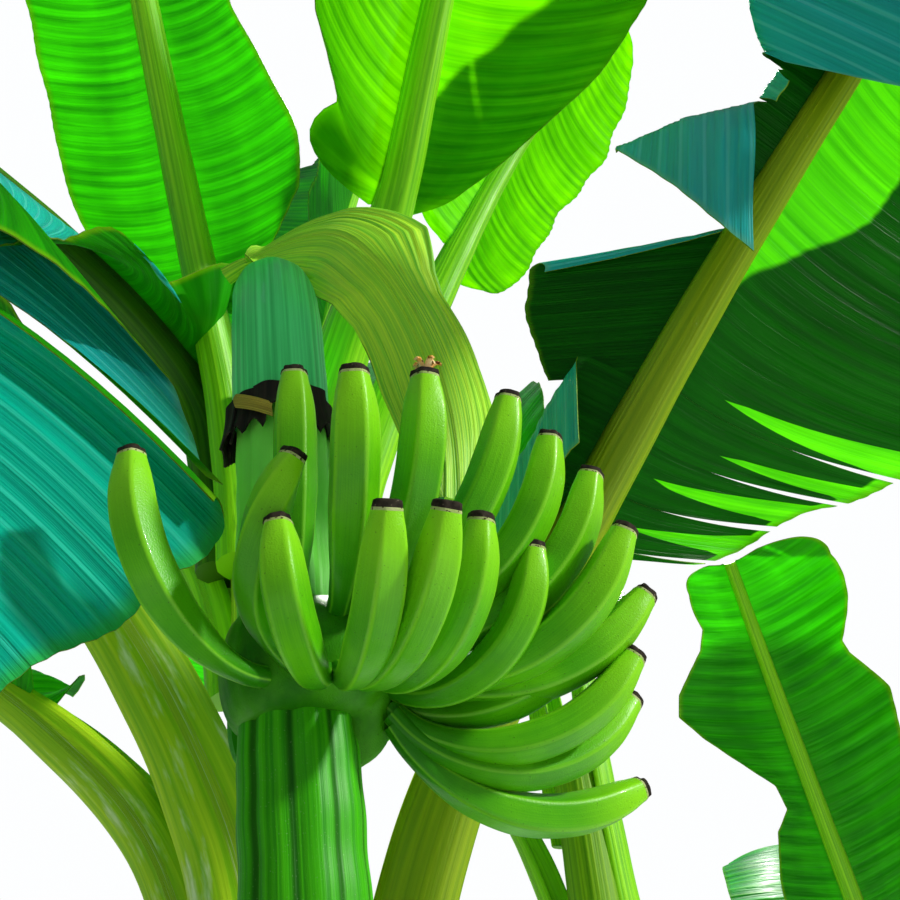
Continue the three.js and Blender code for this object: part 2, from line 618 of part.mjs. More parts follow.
addPart('fruit_stalk', stalkGeometry(0), STALK_GREEN);
addPart('hanging_bract', cut(leafGeometry(BRACT_LEAF), [arch]), LEAF_GREEN);
const stalk = stalkGeometry(CLEARANCE);
const hand = {
  from: -190, to: 62, z: HAND_HEIGHT + ROW_RISE / 2, high: 78, thick: 16, steps: 14,
  swell: 17, drop: 4 * SLOPE_STEP,
};
addPart('hand_cushion', cut(bandGeometry(hand), [stalk]), FRUIT_GREEN);
const cushion = bandGeometry({ ...hand, thick: hand.thick + CLEARANCE, high: hand.high + 2 * CLEARANCE });
const grown = [];
[FRONT_ROW, UPPER_ROW].forEach((row, level) => row.forEach((finger, i) => {
  const foot = fingerFoot(i, level, finger[0]);
  const name = `finger_${level === 0 ? 'front' : 'upper'}_${String(i + 1).padStart(2, '0')}`;
  const course = finger.slice(1);
  const radius = level === 0 ? FRONT_FINGER_RADIUS : UPPER_FINGER_RADIUS;
  const solid = fingerGeometry(course, foot, radius, FINGER_SIDES, FINGER_SHARES);
  addPart(name, cut(solid, [stalk, cushion, ...grown]), FRUIT_GREEN);
  grown.push(fingerGeometry(course, foot, radius, FINGER_SIDES, FINGER_SHARES, CLEARANCE));
}));

addPart('dried_collar', collarGeometry(), DRY_BROWN);
addPart('lower_hand', lowerHandGeometry(), FRUIT_GREEN);
addPart('male_bud', budGeometry(), BUD_PURPLE);
const scar = { from: -232, to: -192, z: HAND_HEIGHT, high: 76, thick: 22, steps: 6 };
addPart('bract_scar', cut(bandGeometry(scar), [stalk, cushion]), FRUIT_GREEN);

export default plant;
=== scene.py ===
import math

import bpy
import numpy as np
from mathutils import Matrix


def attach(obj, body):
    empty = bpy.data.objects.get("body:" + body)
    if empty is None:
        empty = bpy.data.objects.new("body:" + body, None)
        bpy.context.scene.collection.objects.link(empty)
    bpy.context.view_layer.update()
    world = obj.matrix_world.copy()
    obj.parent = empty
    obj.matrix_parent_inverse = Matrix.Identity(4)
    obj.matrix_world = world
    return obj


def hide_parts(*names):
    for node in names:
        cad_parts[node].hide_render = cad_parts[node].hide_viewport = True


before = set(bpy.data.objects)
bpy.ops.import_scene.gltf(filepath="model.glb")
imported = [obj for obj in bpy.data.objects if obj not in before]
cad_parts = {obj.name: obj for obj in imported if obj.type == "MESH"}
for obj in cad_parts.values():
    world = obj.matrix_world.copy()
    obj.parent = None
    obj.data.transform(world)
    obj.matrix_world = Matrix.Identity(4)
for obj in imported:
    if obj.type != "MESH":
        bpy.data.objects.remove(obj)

# Lengths below are in millimetres unless a name says otherwise; meshes are made in metres.
# Azimuths are in degrees counter-clockwise from +X, elevations in degrees above level.
MM = 0.001
FULL_TURN = 2 * math.pi
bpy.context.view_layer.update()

# Camera fitted to the photograph, in metres and degrees
CAMERA_PLACE = (0.20, -0.95, 1.55)
CAMERA_PITCH = 36.0
CAMERA_ROLL = 11.0
CAMERA_LENS = 34.0
CAMERA_SENSOR = 36.0

# Suns: name, azimuth, elevation, strength, apparent size in degrees, colour
SUNS = [("key", 75, 62, 8.0, 3, (1.0, 0.98, 0.92)), ("side", -12, 24, 3.2, 5, (1.0, 1.0, 0.94))]
SKY_SEEN = (0.985, 0.995, 1.0)
SKY_LIGHT = (0.86, 0.96, 1.0)
SKY_STRENGTH = 0.24
FLOOR_COLOUR = (0.42, 0.43, 0.42)
FLOOR_REACH_METRES = 3.4

# Driving sizes of the stems and the fruit stalk, as in the part's source
MOTHER = dict(
    foot=(0, 0), top=(-48, 0), height=2220, foot_radius=112, top_radius=60, flare=34, flare_height=90)
FOLLOWER = dict(
    foot=(128, 158), top=(292, 372), height=1880, foot_radius=62, top_radius=36, flare=26, flare_height=80)
SUCKER = dict(
    foot=(192, -34), top=(640, 430), height=1330, foot_radius=46, top_radius=27, flare=18, flare_height=60)
SEAT = 3
STALK_RADIUS = 37
STALK_PLACE = (66, -403)
ARCH_TOP = 2282
ARCH_DROP = 190
SHEATH_END = 2010
COLLAR_HEIGHT = 54
HAND_HEIGHT = 1768
ROW_RISE = 37
HAND_RADIUS = 47
SLOPE_STEP = 6.5
SLOPE_FROM = (6, 4)
LOWER_HAND_HEIGHT = 1455
STALK_END = 1130
BUD_LENGTH = 165
BUD_PROFILE = [(0, 12), (0.15, 32), (0.35, 42), (0.6, 37), (0.85, 20), (1, 3)]
FINGER_RADIUS = (14.2, 15.8)
STALK_RIBS = 9
STALK_SWELL = [(STALK_END, 13), (1300, 20), (1420, 33), (1600, 38), (HAND_HEIGHT, 38), (2010, 36)]

# How the stems and the stalk are finished
SHEATH_EDGE = 3.4
STEM_INSET = 6
SHEATH_WALL = 3
STEM_RIPPLES = (1.1, 0.35)
STALK_RIB_PHASE = 0.3
STALK_RIB_HEIGHT = 3.2
STALK_RIB_SINK = 1.4
COLLAR_FLAPS = 9
FLAP_SHEET = 1.6
STRIP_SHEET = 1.4

# How the blades are finished
SHEET = 1.1
PLEAT_PITCH = 19
PLEAT_HEIGHT = 0.9
MARGIN_WAVE = 0.014
BLADE_WAVE = 9
TIP_SWEEP = 0.28
CREASE_REACH = 14
CREASE_COLUMNS = 20
TEAR_REACH = 0.3

# The blades' rule, as in the part's source, in shares of the blade or of the rib's half-width
BASE_ROUNDS = 0.17
TIP_ROUNDS = 0.5
ROOT_FOLD = (55, 70)
RIB_AT_BLADE = 0.72
RIB_AT_TIP = 7
BLADE_OUT = 0.8
BLADE_LIFT = 0.25


# Numbers and curves
def clamp01(x):
    return np.clip(x, 0.0, 1.0)


def smooth(x):
    x = clamp01(x)
    return x * x * (3 - 2 * x)


def mix(a, b, k):
    return a + (b - a) * k


def along(keys, x, column=1):
    """The value at x of a line through keys [(x, value, ...), ...]."""
    return np.interp(x, [k[0] for k in keys], [k[column] for k in keys])


def soft_along(keys, x, column=1, reach=0.04):
    """along() with its corners rounded over a reach on each side."""
    offsets = np.linspace(-reach, reach, 9)
    return np.mean([along(keys, x + o, column) for o in offsets], axis=0)


def heading(azimuth, elevation):
    a = np.radians(azimuth)
    e = np.radians(elevation)
    return np.stack([np.cos(a) * np.cos(e), np.sin(a) * np.cos(e), np.sin(e)], -1)


def unit(v):
    return v / np.maximum(np.linalg.norm(v, axis=-1, keepdims=True), 1e-9)


def shares(count):
    return np.linspace(0, 1, count)


def circle(count):
    return np.linspace(0, FULL_TURN, count, endpoint=False)


def ripple(x, waves, seed):
    """A sum of sines with seeded phases, between about -1 and 1."""
    draw = np.random.default_rng(seed)
    total = sum(np.sin(FULL_TURN * x * f + draw.uniform(0, FULL_TURN)) for f in waves)
    return total / len(waves)


def placed(point, right, up, x, y):
    """Rows of section points, x to the right and y up, round the points of a walk."""
    return point[:, None] + right[:, None] * x[..., None] + up[:, None] * y[..., None]


class Frames:
    """Points and axes along a walk: forward, right and up. Roll keys turn the axes about forward."""

    def __init__(self, start, length, s, azimuth_at, elevation_at, roll=None):
        fine = np.unique(np.concatenate([shares(700), s]))
        middle = (fine[1:] + fine[:-1]) / 2
        steps = heading(azimuth_at(middle), elevation_at(middle)) * (np.diff(fine) * length)[:, None]
        path = np.vstack([[0, 0, 0], np.cumsum(steps, axis=0)]) + np.array(start, float)
        self.point = np.stack([np.interp(s, fine, path[:, i]) for i in range(3)], -1)
        self.forward = heading(azimuth_at(s), elevation_at(s))
        a = np.radians(azimuth_at(s))
        self.right = np.stack([np.sin(a), -np.cos(a), 0 * a], -1)
        self.up = np.cross(self.right, self.forward)
        if roll:
            turn = -np.radians(soft_along(roll, s))[:, None]
            right = self.right * np.cos(turn) + np.cross(self.forward, self.right) * np.sin(turn)
            self.up = self.up * np.cos(turn) + np.cross(self.forward, self.up) * np.sin(turn)
            self.right = right

    def placed(self, x, y):
        """Rows of section points round the walk, x to the right and y up."""
        return placed(self.point, self.right, self.up, x, y)


def linked(name, data):
    """A new object in the scene."""
    thing = bpy.data.objects.new(name, data)
    bpy.context.scene.collection.objects.link(thing)
    return thing


# Meshes are gathered in one builder for each piece
class Build:
    def __init__(self, name):
        self.name = name
        self.verts = []
        self.faces = []
        self.slots = []
        self.uvs = []
        self.count = 0

    def add(self, points, faces, slot, uv=None):
        points = np.asarray(points, float).reshape(-1, 3)
        uv = np.zeros((len(points), 2)) if uv is None else np.asarray(uv, float).reshape(-1, 2)
        self.verts.append(points)
        self.faces.append(faces + self.count)
        self.slots.append(np.full(len(faces), slot))
        self.uvs.append(uv)
        self.count += len(points)

    def finish(self, looks, slot, *nodes):
        """Links the piece, dressed in its materials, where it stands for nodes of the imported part."""
        verts = np.vstack(self.verts) * MM
        uv = np.vstack(self.uvs)
        faces = [face for group in self.faces for face in group.tolist()]
        mesh = bpy.data.meshes.new(self.name)
        mesh.from_pydata(verts.tolist(), [], faces)
        layer = mesh.uv_layers.new(name="leaf")
        loops = np.zeros(len(mesh.loops), np.int32)
        mesh.loops.foreach_get("vertex_index", loops)
        layer.data.foreach_set("uv", uv[loops].astype(np.float32).ravel())
        for look in looks:
            mesh.materials.append(look)
        mesh.polygons.foreach_set("material_index", np.concatenate(self.slots).astype(np.int32))
        mesh.polygons.foreach_set("use_smooth", np.full(len(faces), True))
        mesh.update()
        piece = linked(self.name, mesh)
        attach(piece, "root")
        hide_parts(*nodes)


def grid_faces(rows, columns, closed=False):
    """Quads of a grid of rows x columns points; closed joins the last column to the first."""
    i = np.arange(rows - 1)[:, None]
    j = np.arange(columns if closed else columns - 1)[None, :]
    a = i * columns + j
    b = i * columns + (j + 1) % columns
    return np.stack([a, b, b + columns, a + columns], -1).reshape(-1, 4)


def grid_normals(points):
    return unit(np.cross(np.gradient(points, axis=0), np.gradient(points, axis=1)))


def uv_grid(u, v):
    return np.stack(np.broadcast_arrays(u, v), -1)


def add_tube(build, rings, slot, uv=None, caps=(True, True)):
    """A tube through rings [rows, sides, 3] that run counter-clockwise seen from its end."""
    rows, sides = rings.shape[:2]
    if uv is None:
        uv = uv_grid(shares(rows)[:, None], shares(sides))
    build.add(rings, grid_faces(rows, sides, closed=True), slot, uv)
    ids = np.arange(sides)
    fan = np.stack([ids, (ids + 1) % sides, np.full(sides, sides)], -1)
    for wanted, ring, faces in ((caps[0], rings[0], fan[:, ::-1]), (caps[1], rings[-1], fan)):
        if wanted:
            build.add(np.vstack([ring, ring.mean(axis=0)]), faces, slot)


def add_shell(build, points, normals, thick, slots, uv):
    """A closed thin sheet: points [rows, columns, 3] moved both ways along their normals. Slots are
    those of its top, its underside and its edge."""
    rows, columns = points.shape[:2]
    top = points + normals * thick / 2
    bottom = points - normals * thick / 2
    quads = grid_faces(rows, columns)
    build.add(top, quads, slots[0], uv)
    build.add(bottom, quads[:, ::-1], slots[1], uv)
    edge = np.concatenate([
        np.arange(columns), np.arange(1, rows) * columns + columns - 1,
        (rows - 1) * columns + np.arange(columns - 2, -1, -1), np.arange(rows - 2, 0, -1) * columns])
    count = len(edge)
    wall = np.concatenate([top.reshape(-1, 3)[edge], bottom.reshape(-1, 3)[edge]])
    ids = np.arange(count)
    after = (ids + 1) % count
    quads = np.stack([ids, ids + count, after + count, after], -1)
    build.add(wall, quads, slots[2], np.vstack([uv.reshape(-1, 2)[edge]] * 2))


# Materials
def shade(name):
    m = bpy.data.materials.new(name)
    m.use_nodes = True
    m.node_tree.nodes.clear()
    return m, m.node_tree


def node(nt, kind, inputs=None, **settings):
    """A node with its settings. Inputs take the output of another node, a number or a colour."""
    n = nt.nodes.new(kind)
    for key, value in settings.items():
        setattr(n, key, value)
    for key, value in (inputs or {}).items():
        socket = n.inputs[key]
        if isinstance(value, bpy.types.NodeSocket):
            nt.links.new(value, socket)
        elif socket.type == "RGBA":
            socket.default_value = (*value, 1.0)
        else:
            socket.default_value = value
    return n


def blend_colour(nt, factor, a, b, mode="MIX"):
    return node(nt, "ShaderNodeMix", {0: factor, 6: a, 7: b}, data_type="RGBA", blend_type=mode).outputs[2]


def ranged(nt, value, low, high, out_low=0.0, out_high=1.0):
    inputs = {0: value, 1: low, 2: high, 3: out_low, 4: out_high}
    return node(nt, "ShaderNodeMapRange", inputs, interpolation_type="SMOOTHSTEP").outputs[0]


def tint(nt, tone, value, low, high, colour, share=1.0):
    """A tone that takes on a share of a colour as the value goes from low to high."""
    return blend_colour(nt, ranged(nt, value, low, high, 0.0, share), tone, colour)


def math_node(nt, operation, a, b=0.0):
    return node(nt, "ShaderNodeMath", {0: a, 1: b}, operation=operation).outputs[0]


def noise(nt, vector, scale, detail=3.0, rough=0.55):
    inputs = {"Vector": vector, "Scale": scale, "Detail": detail, "Roughness": rough}
    return node(nt, "ShaderNodeTexNoise", inputs).outputs["Fac"]


def streaks(nt, uv, along_scale, across_scale, detail, rough=0.55):
    """Noise on the UV map, drawn out by a scale for each of its two directions."""
    scaled = node(nt, "ShaderNodeMapping", {"Vector": uv, "Scale": (along_scale, across_scale, 1.0)})
    return noise(nt, scaled.outputs[0], 1.0, detail, rough)


def leaf_map(nt):
    """The UV map and its two parts."""
    uv = node(nt, "ShaderNodeUVMap", uv_map="leaf").outputs[0]
    parts = node(nt, "ShaderNodeSeparateXYZ", {0: uv})
    return uv, parts.outputs[0], parts.outputs[1]


def object_place(nt):
    return node(nt, "ShaderNodeTexCoord").outputs["Object"]


def surface(m, nt, colour, rough, bump=None, bump_height=0.001, through=None, through_share=0.0,
            specular=0.5, coat=0.0):
    """The shared end of every material: a Principled shader, with a translucent share on thin parts."""
    shader = node(nt, "ShaderNodeBsdfPrincipled", {
        "Base Color": colour, "Roughness": rough, "Specular IOR Level": specular, "Coat Weight": coat})
    if bump is not None:
        lift = node(nt, "ShaderNodeBump", {"Height": bump, "Distance": bump_height, "Strength": 1.0})
        nt.links.new(lift.outputs[0], shader.inputs["Normal"])
    out = shader.outputs[0]
    if through is not None:
        passing = node(nt, "ShaderNodeBsdfTranslucent", {"Color": through})
        out = node(nt, "ShaderNodeMixShader", {0: through_share, 1: out, 2: passing.outputs[0]}).outputs[0]
    node(nt, "ShaderNodeOutputMaterial", {0: out})
    return m


def polyline(nt, value, keys):
    """The height of a line through the keys (metres along the rib, share), at a value in metres."""
    top = keys[-1][0]
    curve = node(nt, "ShaderNodeFloatCurve", {"Value": math_node(nt, "DIVIDE", value, top)})
    points = curve.mapping.curves[0].points
    while len(points) < len(keys):
        points.new(0.5, 0.5)
    for point, (place, height) in zip(points, keys):
        point.location = (place / top, height)
        point.handle_type = "VECTOR"
    curve.mapping.update()
    return curve.outputs[0]


def wedge_line(wedges):
    """Keys of a line at the margin that dips towards the rib at each wedge (middle, half, tip). The painted
    shadow stops at it, so the wedges and the margin beyond it stay painted light.
    """
    keys = [(0, 0.93)]
    for middle, half, tip in wedges:
        keys += [(middle - half, 0.94), (middle, tip), (middle + half, 0.94)]
    return keys + [(0.42, 0.94), (0.5, 1.02), (1.45, 1.02)]


def blade_material(name, colour, shadow, margin, rib_side, glow, share, rough=0.42, coat=0.0, specular=0.2,
                   pleats=0.2, ridge_highlight=None, shadow_line=None, wedges=(), shadow_tint=None):
    """A blade face: lateral veins across the rib, softer clouding, lighter margins, painted highlights on the
    pleat ridges and painted shade in their troughs. A share of the light gets through it in the glow's
    colour.
    With a shadow_line (metres along the rib, share of the width) a painted shadow darkens it beyond that
    line, but for painted light in the wedges that widen outwards, and along the margin."""
    m, nt = shade(name)
    uv, run, across = leaf_map(nt)
    out = math_node(nt, "ABSOLUTE", across)
    fine = streaks(nt, uv, 330.0, 1.2, 2.0)
    wide = streaks(nt, uv, 62.0, 0.7, 3.0)
    cloud = streaks(nt, uv, 3.0, 1.6, 3.0)
    line = math_node(nt, "ADD", math_node(nt, "MULTIPLY", ranged(nt, fine, 0.35, 0.65), 0.4),
                     math_node(nt, "MULTIPLY", ranged(nt, wide, 0.36, 0.64), 0.6))
    ridge = math_node(nt, "SINE", math_node(nt, "MULTIPLY", run, FULL_TURN / (PLEAT_PITCH * MM)))
    tone = blend_colour(nt, line, shadow, colour)
    tone = tint(nt, tone, cloud, 0.35, 0.75, shadow, 0.4)
    # Painted highlight: the pleat ridges take on a share of the ridge highlight colour, or of the glow
    tone = tint(nt, tone, ridge, 0.7, 1.0, ridge_highlight or glow, pleats)
    tone = tint(nt, tone, out, 0.2, 0.0, rib_side, 0.55)
    tone = tint(nt, tone, out, 0.95, 1.0, margin, 0.85)
    light = blend_colour(nt, ranged(nt, line, 0.0, 1.0, 0.3, 0.0), glow, tone)
    light = tint(nt, light, cloud, 0.3, 0.7, tone, 0.3)
    # Painted shade: less light gets through in the pleat troughs
    light = blend_colour(nt, ranged(nt, ridge, -1.0, -0.5, pleats, 0.0), light, tone)
    light = tint(nt, light, out, 0.93, 1.0, margin, 0.8)
    # Painted shadow: beyond the shadow line the face and the light through it take the shadow tint, but for
    # painted light in the wedges and along the margin
    if shadow_line:
        uneven = ranged(nt, cloud, 0.3, 0.7, -0.02, 0.02)
        lit_edge = math_node(nt, "ADD", polyline(nt, run, shadow_line), uneven)
        past = ranged(nt, math_node(nt, "SUBTRACT", out, lit_edge), -0.012, 0.012)
        before_wedge = math_node(nt, "SUBTRACT", polyline(nt, run, wedge_line(wedges)), out)
        past = math_node(nt, "MULTIPLY", past, ranged(nt, before_wedge, -0.01, 0.01))
        tone = blend_colour(nt, past, tone, blend_colour(nt, 1.0, tone, shadow_tint, "MULTIPLY"))
        light = blend_colour(nt, past, light, blend_colour(nt, 1.0, light, shadow_tint, "MULTIPLY"))
    return surface(m, nt, tone, rough, bump=line, bump_height=0.0012, through=light, through_share=share,
                   coat=coat, specular=specular)


def streaked_material(name, colour, dark, patch, patch_from, rough, run_scale=3.0, turn_scale=40.0,
                      patch_scale=9.0):
    """A stem-like face: streaks that run with it and patches of another colour. Its UV map runs
    along the piece in metres and once round it."""
    m, nt = shade(name)
    uv = leaf_map(nt)[0]
    streak = streaks(nt, uv, run_scale, turn_scale, 4.0)
    spots = streaks(nt, uv, patch_scale * 0.6, patch_scale, 5.0, 0.62)
    tone = tint(nt, dark, streak, 0.3, 0.7, colour)
    tone = tint(nt, tone, spots, patch_from, patch_from + 0.14, patch)
    return surface(m, nt, tone, rough, bump=streak, bump_height=0.0015, specular=0.25)


def grooved_material(name):
    """The bare fruit stalk: deep green ribs with painted shade in the grooves between them, pale waxy grains,
    and a light waxy green above the hand, partly its own colour and partly painted light."""
    m, nt = shade(name)
    uv, height, turn = leaf_map(nt)
    wave = math_node(nt, "MULTIPLY", turn, FULL_TURN * STALK_RIBS / 2)
    wave = math_node(nt, "ADD", wave, STALK_RIB_PHASE)
    groove_shade = math_node(nt, "ABSOLUTE", math_node(nt, "SINE", wave))
    streak = streaks(nt, uv, 3.0, 60.0, 4.0)
    grain = noise(nt, object_place(nt), 1500.0, 1.0)
    tone = tint(nt, (0.02, 0.28, 0.001), streak, 0.3, 0.7, (0.07, 0.52, 0.002))
    # Painted shade in the grooves between the ribs
    tone = tint(nt, tone, groove_shade, 0.5, 0.05, (0.004, 0.07, 0.001), 0.85)
    # Lighter above the hand: partly its own waxy green, partly painted light
    tone = tint(nt, tone, height, 1.80, 1.88, (0.25, 0.95, 0.1))
    tone = tint(nt, tone, grain, 0.74, 0.78, (0.45, 0.62, 0.35))
    return surface(m, nt, tone, 0.42, bump=streak, bump_height=0.0008, specular=0.2)


def fruit_material(name):
    """A finger's skin: painted shade darkens it at the foot, painted light turns it lime towards the tip, and
    painted highlights lie along its ridges. Its UV map holds the share of the length and the share of the way
    from a facet's middle to its ridge."""
    m, nt = shade(name)
    uv, share, ridge = leaf_map(nt)
    place = object_place(nt)
    cloud = noise(nt, place, 22.0, 3.0)
    streak = streaks(nt, uv, 1.5, 7.0, 3.0)
    grain = noise(nt, place, 900.0, 1.0)
    tone = tint(nt, (0.075, 0.4, 0.0015), cloud, 0.3, 0.7, (0.13, 0.54, 0.002))
    tone = tint(nt, tone, streak, 0.35, 0.7, (0.03, 0.3, 0.001), 0.45)
    # Painted shade towards the foot
    tone = tint(nt, tone, share, 0.5, 0.05, (0.01, 0.16, 0.001), 0.85)
    # Painted light towards the tip
    tone = tint(nt, tone, share, 0.6, 1.0, (0.3, 0.78, 0.01), 0.8)
    # Painted highlights along the facets' ridges
    tone = tint(nt, tone, ridge, 0.72, 1.0, (0.32, 0.8, 0.03), 0.45)
    tone = tint(nt, tone, grain, 0.73, 0.77, (0.03, 0.09, 0.003))
    return surface(m, nt, tone, 0.36, bump=grain, bump_height=0.0002, specular=0.22, coat=0.06)


def speckled_material(name, colour, light, speck, speck_from, rough, speck_scale=900.0, cloud_scale=25.0):
    """A face clouded between two colours, with specks of a third."""
    m, nt = shade(name)
    place = object_place(nt)
    grain = noise(nt, place, speck_scale, 1.0)
    tone = tint(nt, colour, noise(nt, place, cloud_scale, 4.0), 0.3, 0.7, light)
    tone = tint(nt, tone, grain, speck_from, speck_from + 0.04, speck)
    return surface(m, nt, tone, rough, bump=grain, bump_height=0.0003, specular=0.15)


# Blade faces: colour, shadows, margin, beside the rib, light through it, and how much gets through
UNDER = blade_material(
    "leaf_under", (0.045, 0.44, 0.002), (0.012, 0.25, 0.001), (0.34, 0.72, 0.004), (0.06, 0.45, 0.002),
    (0.1, 1.0, 0.002), 0.52)
# A brighter copy of leaf_under that lets more light through: painted light
UNDER_PAINTED_LIGHT = blade_material(
    "leaf_under_painted_light", (0.12, 0.78, 0.002), (0.05, 0.55, 0.001), (0.5, 0.92, 0.004), (0.16, 0.8, 0.002),
    (0.5, 1.0, 0.002), 0.88)
# A darker copy of leaf_under that lets little light through: painted shade
UNDER_PAINTED_SHADE = blade_material(
    "leaf_under_painted_shade", (0.004, 0.12, 0.001), (0.002, 0.07, 0.001), (0.1, 0.3, 0.002),
    (0.003, 0.08, 0.001), (0.01, 0.25, 0.001), 0.12, specular=0.1)
# Painted shadow over this underside beyond the shadow line, with painted light in the wedges and along the
# margin
UNDER_PAINTED_SHADOW = blade_material(
    "leaf_under_painted_shadow", (0.12, 0.75, 0.002), (0.05, 0.55, 0.001), (0.3, 0.62, 0.004), (0.06, 0.45, 0.002),
    (0.3, 1.0, 0.002), 0.6, shadow_tint=(0.02, 0.11, 0.3),
    shadow_line=[(0, 0.0), (0.3, 0.0), (0.38, 0.06), (0.46, 0.16), (0.53, 0.3), (0.62, 0.36), (1.45, 0.5)],
    wedges=[(0.08, 0.014, 0.2), (0.14, 0.018, 0.14), (0.2, 0.014, 0.3), (0.262, 0.022, 0.2)])
UPPER = blade_material(
    "leaf_upper", (0.004, 0.27, 0.1), (0.001, 0.16, 0.06), (0.1, 0.45, 0.02), (0.008, 0.28, 0.06),
    (0.5, 0.95, 0.05), 0.6, rough=0.32, coat=0.1)
# The teal of a waxy face together with a painted sky reflection, and painted highlights on the pleat ridges
UPPER_WAXY_TEAL_PAINTED_REFLECTION = blade_material(
    "leaf_upper_waxy_teal_painted_reflection", (0.001, 0.6, 0.47), (0.001, 0.42, 0.3), (0.03, 0.5, 0.05), (0.001, 0.36, 0.26),
    (0.004, 0.75, 0.35), 0.3, rough=0.36, coat=0.05, pleats=0.45, ridge_highlight=(0.06, 0.78, 0.62))
# Painted sky reflection on the upper face, with painted highlights on the pleat ridges
UPPER_PAINTED_SKY_REFLECTION = blade_material(
    "leaf_upper_painted_sky_reflection", (0.02, 0.62, 0.6), (0.01, 0.42, 0.4), (0.12, 0.55, 0.4), (0.01, 0.3, 0.3),
    (0.02, 0.5, 0.5), 0.15, rough=0.38, coat=0.1, pleats=0.5, ridge_highlight=(0.14, 0.76, 0.74))

# Streaked faces: colour, dark streaks, patches, the noise from which patches start, roughness
BRACT = streaked_material(
    "bract_face", (0.62, 1.0, 0.04), (0.17, 0.66, 0.03), (0.3, 0.16, 0.012), 0.64, 0.36,
    run_scale=2.5, turn_scale=26.0)
EDGE = streaked_material(
    "leaf_edge", (0.22, 0.4, 0.01), (0.08, 0.18, 0.005), (0.05, 0.03, 0.01), 0.6, 0.6)
RIB = streaked_material(
    "leaf_rib", (0.36, 0.82, 0.012), (0.15, 0.52, 0.004), (0.06, 0.26, 0.002), 0.62, 0.38)
RIB_OLIVE = streaked_material(
    "leaf_rib_olive", (0.3, 0.44, 0.004), (0.18, 0.32, 0.003), (0.14, 0.12, 0.006), 0.66, 0.4)
# A darker copy of the leaf stalk: painted shade
RIB_PAINTED_SHADE = streaked_material(
    "leaf_stalk_painted_shade", (0.07, 0.2, 0.003), (0.02, 0.09, 0.002), (0.09, 0.05, 0.008), 0.64, 0.4)
RIB_PALE = streaked_material(
    "leaf_stalk_pale", (0.52, 0.74, 0.02), (0.22, 0.52, 0.006), (0.7, 0.84, 0.5), 0.54, 0.45)
# Lit and shaded copies of one stem colour: painted light on the main stem, painted shade on the follower and
# the sucker
STEM_PAINTED_LIGHT = streaked_material(
    "stem_sheath_painted_light", (0.58, 0.8, 0.02), (0.2, 0.44, 0.008), (0.16, 0.07, 0.012), 0.55, 0.5,
    run_scale=1.5, turn_scale=46.0, patch_scale=5.0)
STEM_PAINTED_SHADE = streaked_material(
    "stem_sheath", (0.26, 0.48, 0.008), (0.1, 0.28, 0.004), (0.13, 0.06, 0.012), 0.6, 0.5,
    run_scale=1.5, turn_scale=46.0, patch_scale=5.0)
SHEATH = streaked_material(
    "stalk_sheath", (0.12, 1.0, 0.3), (0.04, 0.6, 0.14), (0.16, 0.8, 0.36), 0.6, 0.32, run_scale=2.0)
DRY = streaked_material(
    "dry_sheath", (0.03, 0.022, 0.014), (0.006, 0.005, 0.004), (0.12, 0.08, 0.04), 0.62, 0.85)
DRY_LIGHT = streaked_material(
    "dry_strip", (0.85, 0.68, 0.08), (0.16, 0.08, 0.02), (0.6, 0.56, 0.08), 0.55, 0.8)
BUD = streaked_material(
    "bud_bract", (0.22, 0.03, 0.07), (0.09, 0.012, 0.035), (0.3, 0.09, 0.06), 0.6, 0.4)

# Speckled faces: two clouded colours, specks, the noise from which specks start, roughness
# Darker than the fingers' skin: painted shade under the fingers
CUSHION_PAINTED_SHADE = speckled_material(
    "cushion_skin", (0.015, 0.16, 0.001), (0.06, 0.32, 0.002), (0.02, 0.06, 0.003), 0.72, 0.42)
SCAR = speckled_material(
    "bract_scar_skin", (0.02, 0.26, 0.002), (0.07, 0.46, 0.003), (0.02, 0.06, 0.003), 0.7, 0.42)
TIP_BLACK = speckled_material(
    "fruit_tip", (0.01, 0.007, 0.005), (0.04, 0.03, 0.02), (0.16, 0.13, 0.09), 0.7, 0.9, 400.0, 200.0)
TIP_RIM = speckled_material(
    "fruit_tip_rim", (0.34, 0.46, 0.12), (0.5, 0.55, 0.24), (0.08, 0.06, 0.02), 0.6, 0.7, 500.0, 150.0)
FLOWER = speckled_material(
    "dry_flower", (0.85, 0.36, 0.04), (0.95, 0.8, 0.45), (0.15, 0.05, 0.01), 0.6, 0.8, 300.0, 120.0)
STALK = grooved_material("stalk_skin")
FRUIT = fruit_material("fruit_skin")


# Stems
def stem_axis(stem, z):
    k = z / stem["height"]
    return mix(stem["foot"][0], stem["top"][0], k), mix(stem["foot"][1], stem["top"][1], k)


def stem_radius(stem, z):
    k = z / stem["height"]
    return mix(stem["foot_radius"], stem["top_radius"], k) + stem["flare"] * np.exp(-z / stem["flare_height"])


